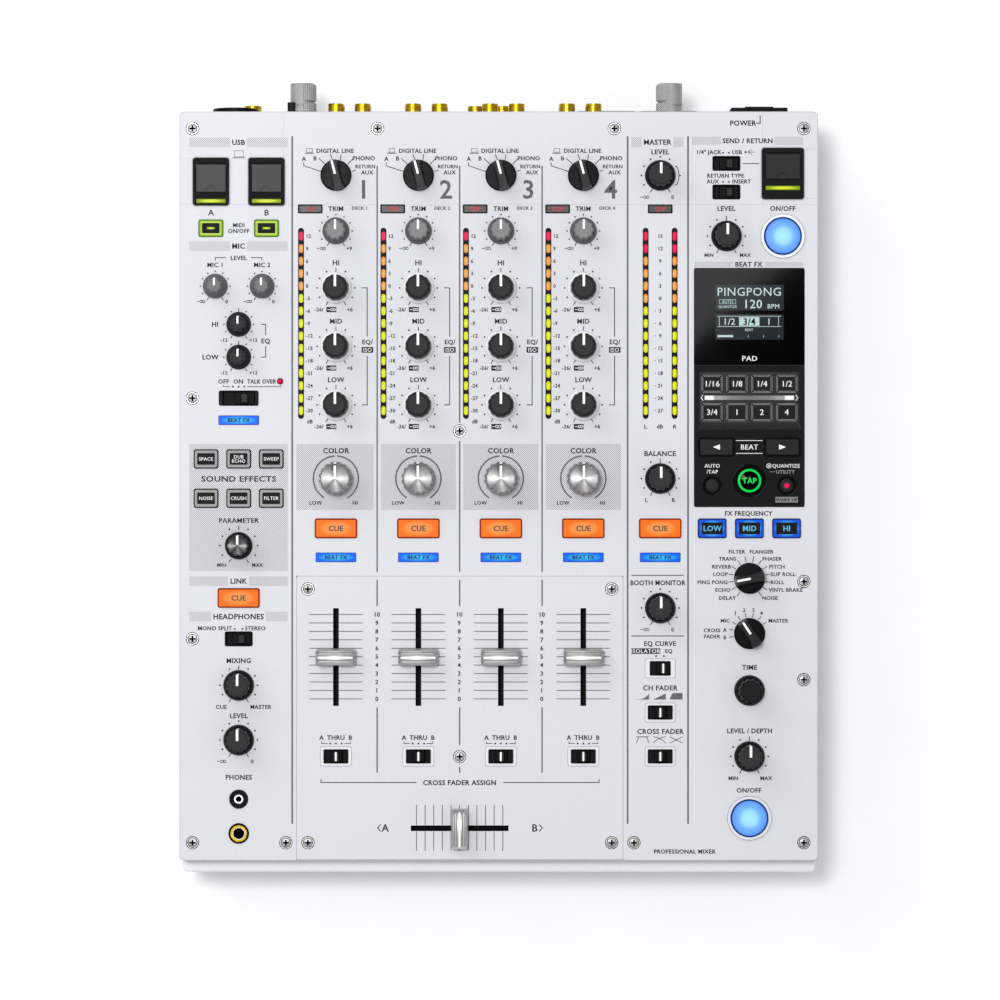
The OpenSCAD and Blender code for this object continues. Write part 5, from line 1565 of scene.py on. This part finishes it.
label(p, "WAKE UP", 150.1, -11.65, 1.7, "ink", z=PAD + 0.05, stretch=1.0)
p.object("display", "housing", "gloss_black")


# ---------------------------------------------------------------- sockets in the panel

USB = [(-150.05, 156.2, 18.9, 24.9, 15.1, 14.4, 154.2), (-121.1, 156.2, 18.9, 24.9, 15.1, 14.4, 154.2),
       (148.1, 162.4, 21.9, 26.7, 17.7, 13.2, 158.4)]
paint_node("usb_lids", ["lid"])
paint_node("send_usb_lid", ["lid_dark"])
paint_node("power_rocker", ["black"])
p = Build()
for x, y, w, d, lid_w, lid_d, middle in USB:
    lamp_y = y - lid_d / 2 - 4.9
    p.place = at(x, lamp_y)
    p.slab(lid_w + 0.1, 2.1, 0.4, 89.5, 90.06, "usb_lamp", edge=0.1)
    p.place = at(x, middle)
    p.frame(w + 0.1, d + 0.1, 1.5, w - 1.6, d - 1.6, 1.0, 89.1, 89.86, "black")
    # Painted shade: a grey line where the frame meets the panel.
    p.frame(w + 1.1, d + 1.1, 1.9, w + 0.1, d + 0.1, 1.5, 89.0, 89.06, "bezel_edge")
    p.place = at(x, y - 0.4)
    p.slab(5.4, 3.2, 0.2, 77.9, 86.5, "ink_white")
    for i in range(4):
        p.place = at(x - 1.8 + 1.2 * i, y - 2.05)
        p.slab(0.6, 0.2, 0.05, 78.5, 86.0, "gold")
p.object("usb_ports", "housing", "socket_plastic")

p = Build()
for y, outer, bore in ((-167.8, 4.9, 1.8), (-185.7, 5.3, 3.2)):
    p.place = at(LEFT_X, y)
    p.ring(outer + 0.03, bore + 1.9 if bore < 3 else 4.35, 89.0, 89.62, "black", edge=0.2)
    if bore > 3:
        p.ring(4.35, 3.25, 89.0, 89.5, "gold", edge=0.1)
    else:
        p.ring(3.7, 1.85, 89.0, 89.5, "black_matt", edge=0.3)
        p.ring(2.3, 1.85, 89.4, 89.55, "nickel")
    p.ring(bore + 0.01, bore - 0.25, 76.5, 89.0, "nickel", n=32)
p.object("phones_rings", "housing", "socket_plastic")


# ---------------------------------------------------------------- rear sockets

def small_rod(p, x, y, r, low, high, mat, tip=0.3, n=20):
    p.place, keep = p.place @ at(x, y), p.place
    p.turned([(r, low), (r, high - tip), (r * 0.55, high)], mat, n=n)
    p.place = keep


p = Build()
PAIRS = [-78.6 + 40.5 * i for i in range(4)]
rca = [(x + side * 7, 66, side) for x in PAIRS for side in (-1, 1)]
rca += [(x + side * 7, 49, side) for x in (PAIRS[0], PAIRS[1], -5.3, PAIRS[3]) for side in (-1, 1)]
for x, z, side in rca:
    p.place = rear(x, z)
    p.turned([(5.6, 0.02), (5.6, 0.9), (5.2, 1.25), (4.6, 1.3), (4.2, 1.6)], "gold", n=6 * 4)
    p.ring(4.2, 3.3, 1.0, 6.55, "gold", n=32, edge=0.5)
    p.ring(3.35, 1.7, 0.5, 6.2, "ink_white" if side > 0 else "rca_red", n=32, edge=0.3)
    p.ring(1.72, 1.35, -4.0, 6.0, "gold", n=24)
p.object("rca_sockets", "housing", "socket_plastic")

p = Build()
for x in (-102.3, 89.1):
    p.place = rear(x, 66)
    n = 72
    ridged = [(a * (1 - 0.03 * (i % 2)), b * (1 - 0.03 * (i % 2))) for i, (a, b) in enumerate(circle(6.4, n))]
    plain = circle(5.95, n)
    p.loft([(plain, 0.3), (ridged, 0.7), (ridged, 6.6), (plain, 7.0), (circle(5.3, n), 7.1),
            (circle(5.3, n), 7.6),
            (plain, 7.7), (ridged, 8.1), (ridged, 16.0), (plain, 16.7), (circle(4.6, n), 17.09)], "knurl")
    if x < 0:
        p.place = rear(x - 6.6, 66)
        p.slab(4.0, 12.0, 0.5, 0.0, 7.0, "black", edge=0.3)
p.object("ground_posts", "housing", "socket_plastic")

p = Build()
for x in (57.0, 89.9):
    p.place = rear(x, 30)
    p.frame(31.2, 26.2, 3.0, 23.6, 23.0, 11.4, -0.5, 4.6, "black_matt", n=12)
    p.ring(11.6, 9.5, 0.2, 4.8, "nickel", n=64, edge=0.4)
    for a in (90, 210, 330):
        small_rod(p, *spot(0, 0, 4.9, a), 1.15, -15.2, -2.5, "nickel")
    for sx, sy in ((-12.3, 9.8), (12.3, -9.8)):
        small_rod(p, sx, sy, 1.9, 1.4, 2.3, "black", n=24)
p.place = rear(-138.8, 60)
p.ring(11.85, 10.2, 0.5, 4.3, "black", n=64, edge=0.4)
p.ring(10.3, 3.9, 2.9, 4.0, "black_matt", n=64)
p.ring(4.0, 3.2, 2.9, 4.15, "gold", n=32)
for x, z in [(-131.0, 30)] + [(c + side * 9, 24) for c in PAIRS[:2] for side in (-1, 1)]:
    p.place = rear(x, z)
    p.turned([(6.05, 0.0), (6.05, 1.6), (5.6, 2.05), (4.6, 2.1)], "nickel", n=6)
    p.ring(4.55, 3.22, 1.5, 8.2 if x < -130 else 3.1, "gold", n=40, edge=0.3)
p.place = rear(22, 28)
p.ring(7.65, 6.7, 0.4, 1.6, "nickel", n=48, edge=0.2)
p.place = rear(-104.7, 32)
for i in range(8):
    keep = p.place
    p.place = keep @ at(-3.6 + 1.03 * i, 3.6)
    p.slab(0.45, 0.5, 0.05, -11, 1.5, "gold")
    p.place = keep
p.frame(16.1, 14.1, 0.4, 12.4, 8.6, 0.3, 3.9, 4.85, "nickel")
p.place = rear(137, 34)
p.frame(50.1, 24.1, 4.0, 24.2, 17.2, 1.2, 0.8, 2.06, "black_matt", n=6)
for x, z in ((-7, -1.2), (7, -1.2), (0, 3.2)):
    keep = p.place
    p.place = keep @ at(x, z)
    p.slab(2.0, 4.0, 0.3, -16.2, -2, "nickel", edge=0.3)
    p.place = keep
p.place = rear(136.4, 68)
p.frame(29.5, 27.1, 2.0, 15.4, 21.1, 0.4, 0.8, 3.4, "black_matt", n=6)
for side in (-20, 20):
    small_rod(p, side, 0, 2.6, 0, 2.0, "black", n=24)
p.object("rear_sockets", "housing", "socket_plastic")

low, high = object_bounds()
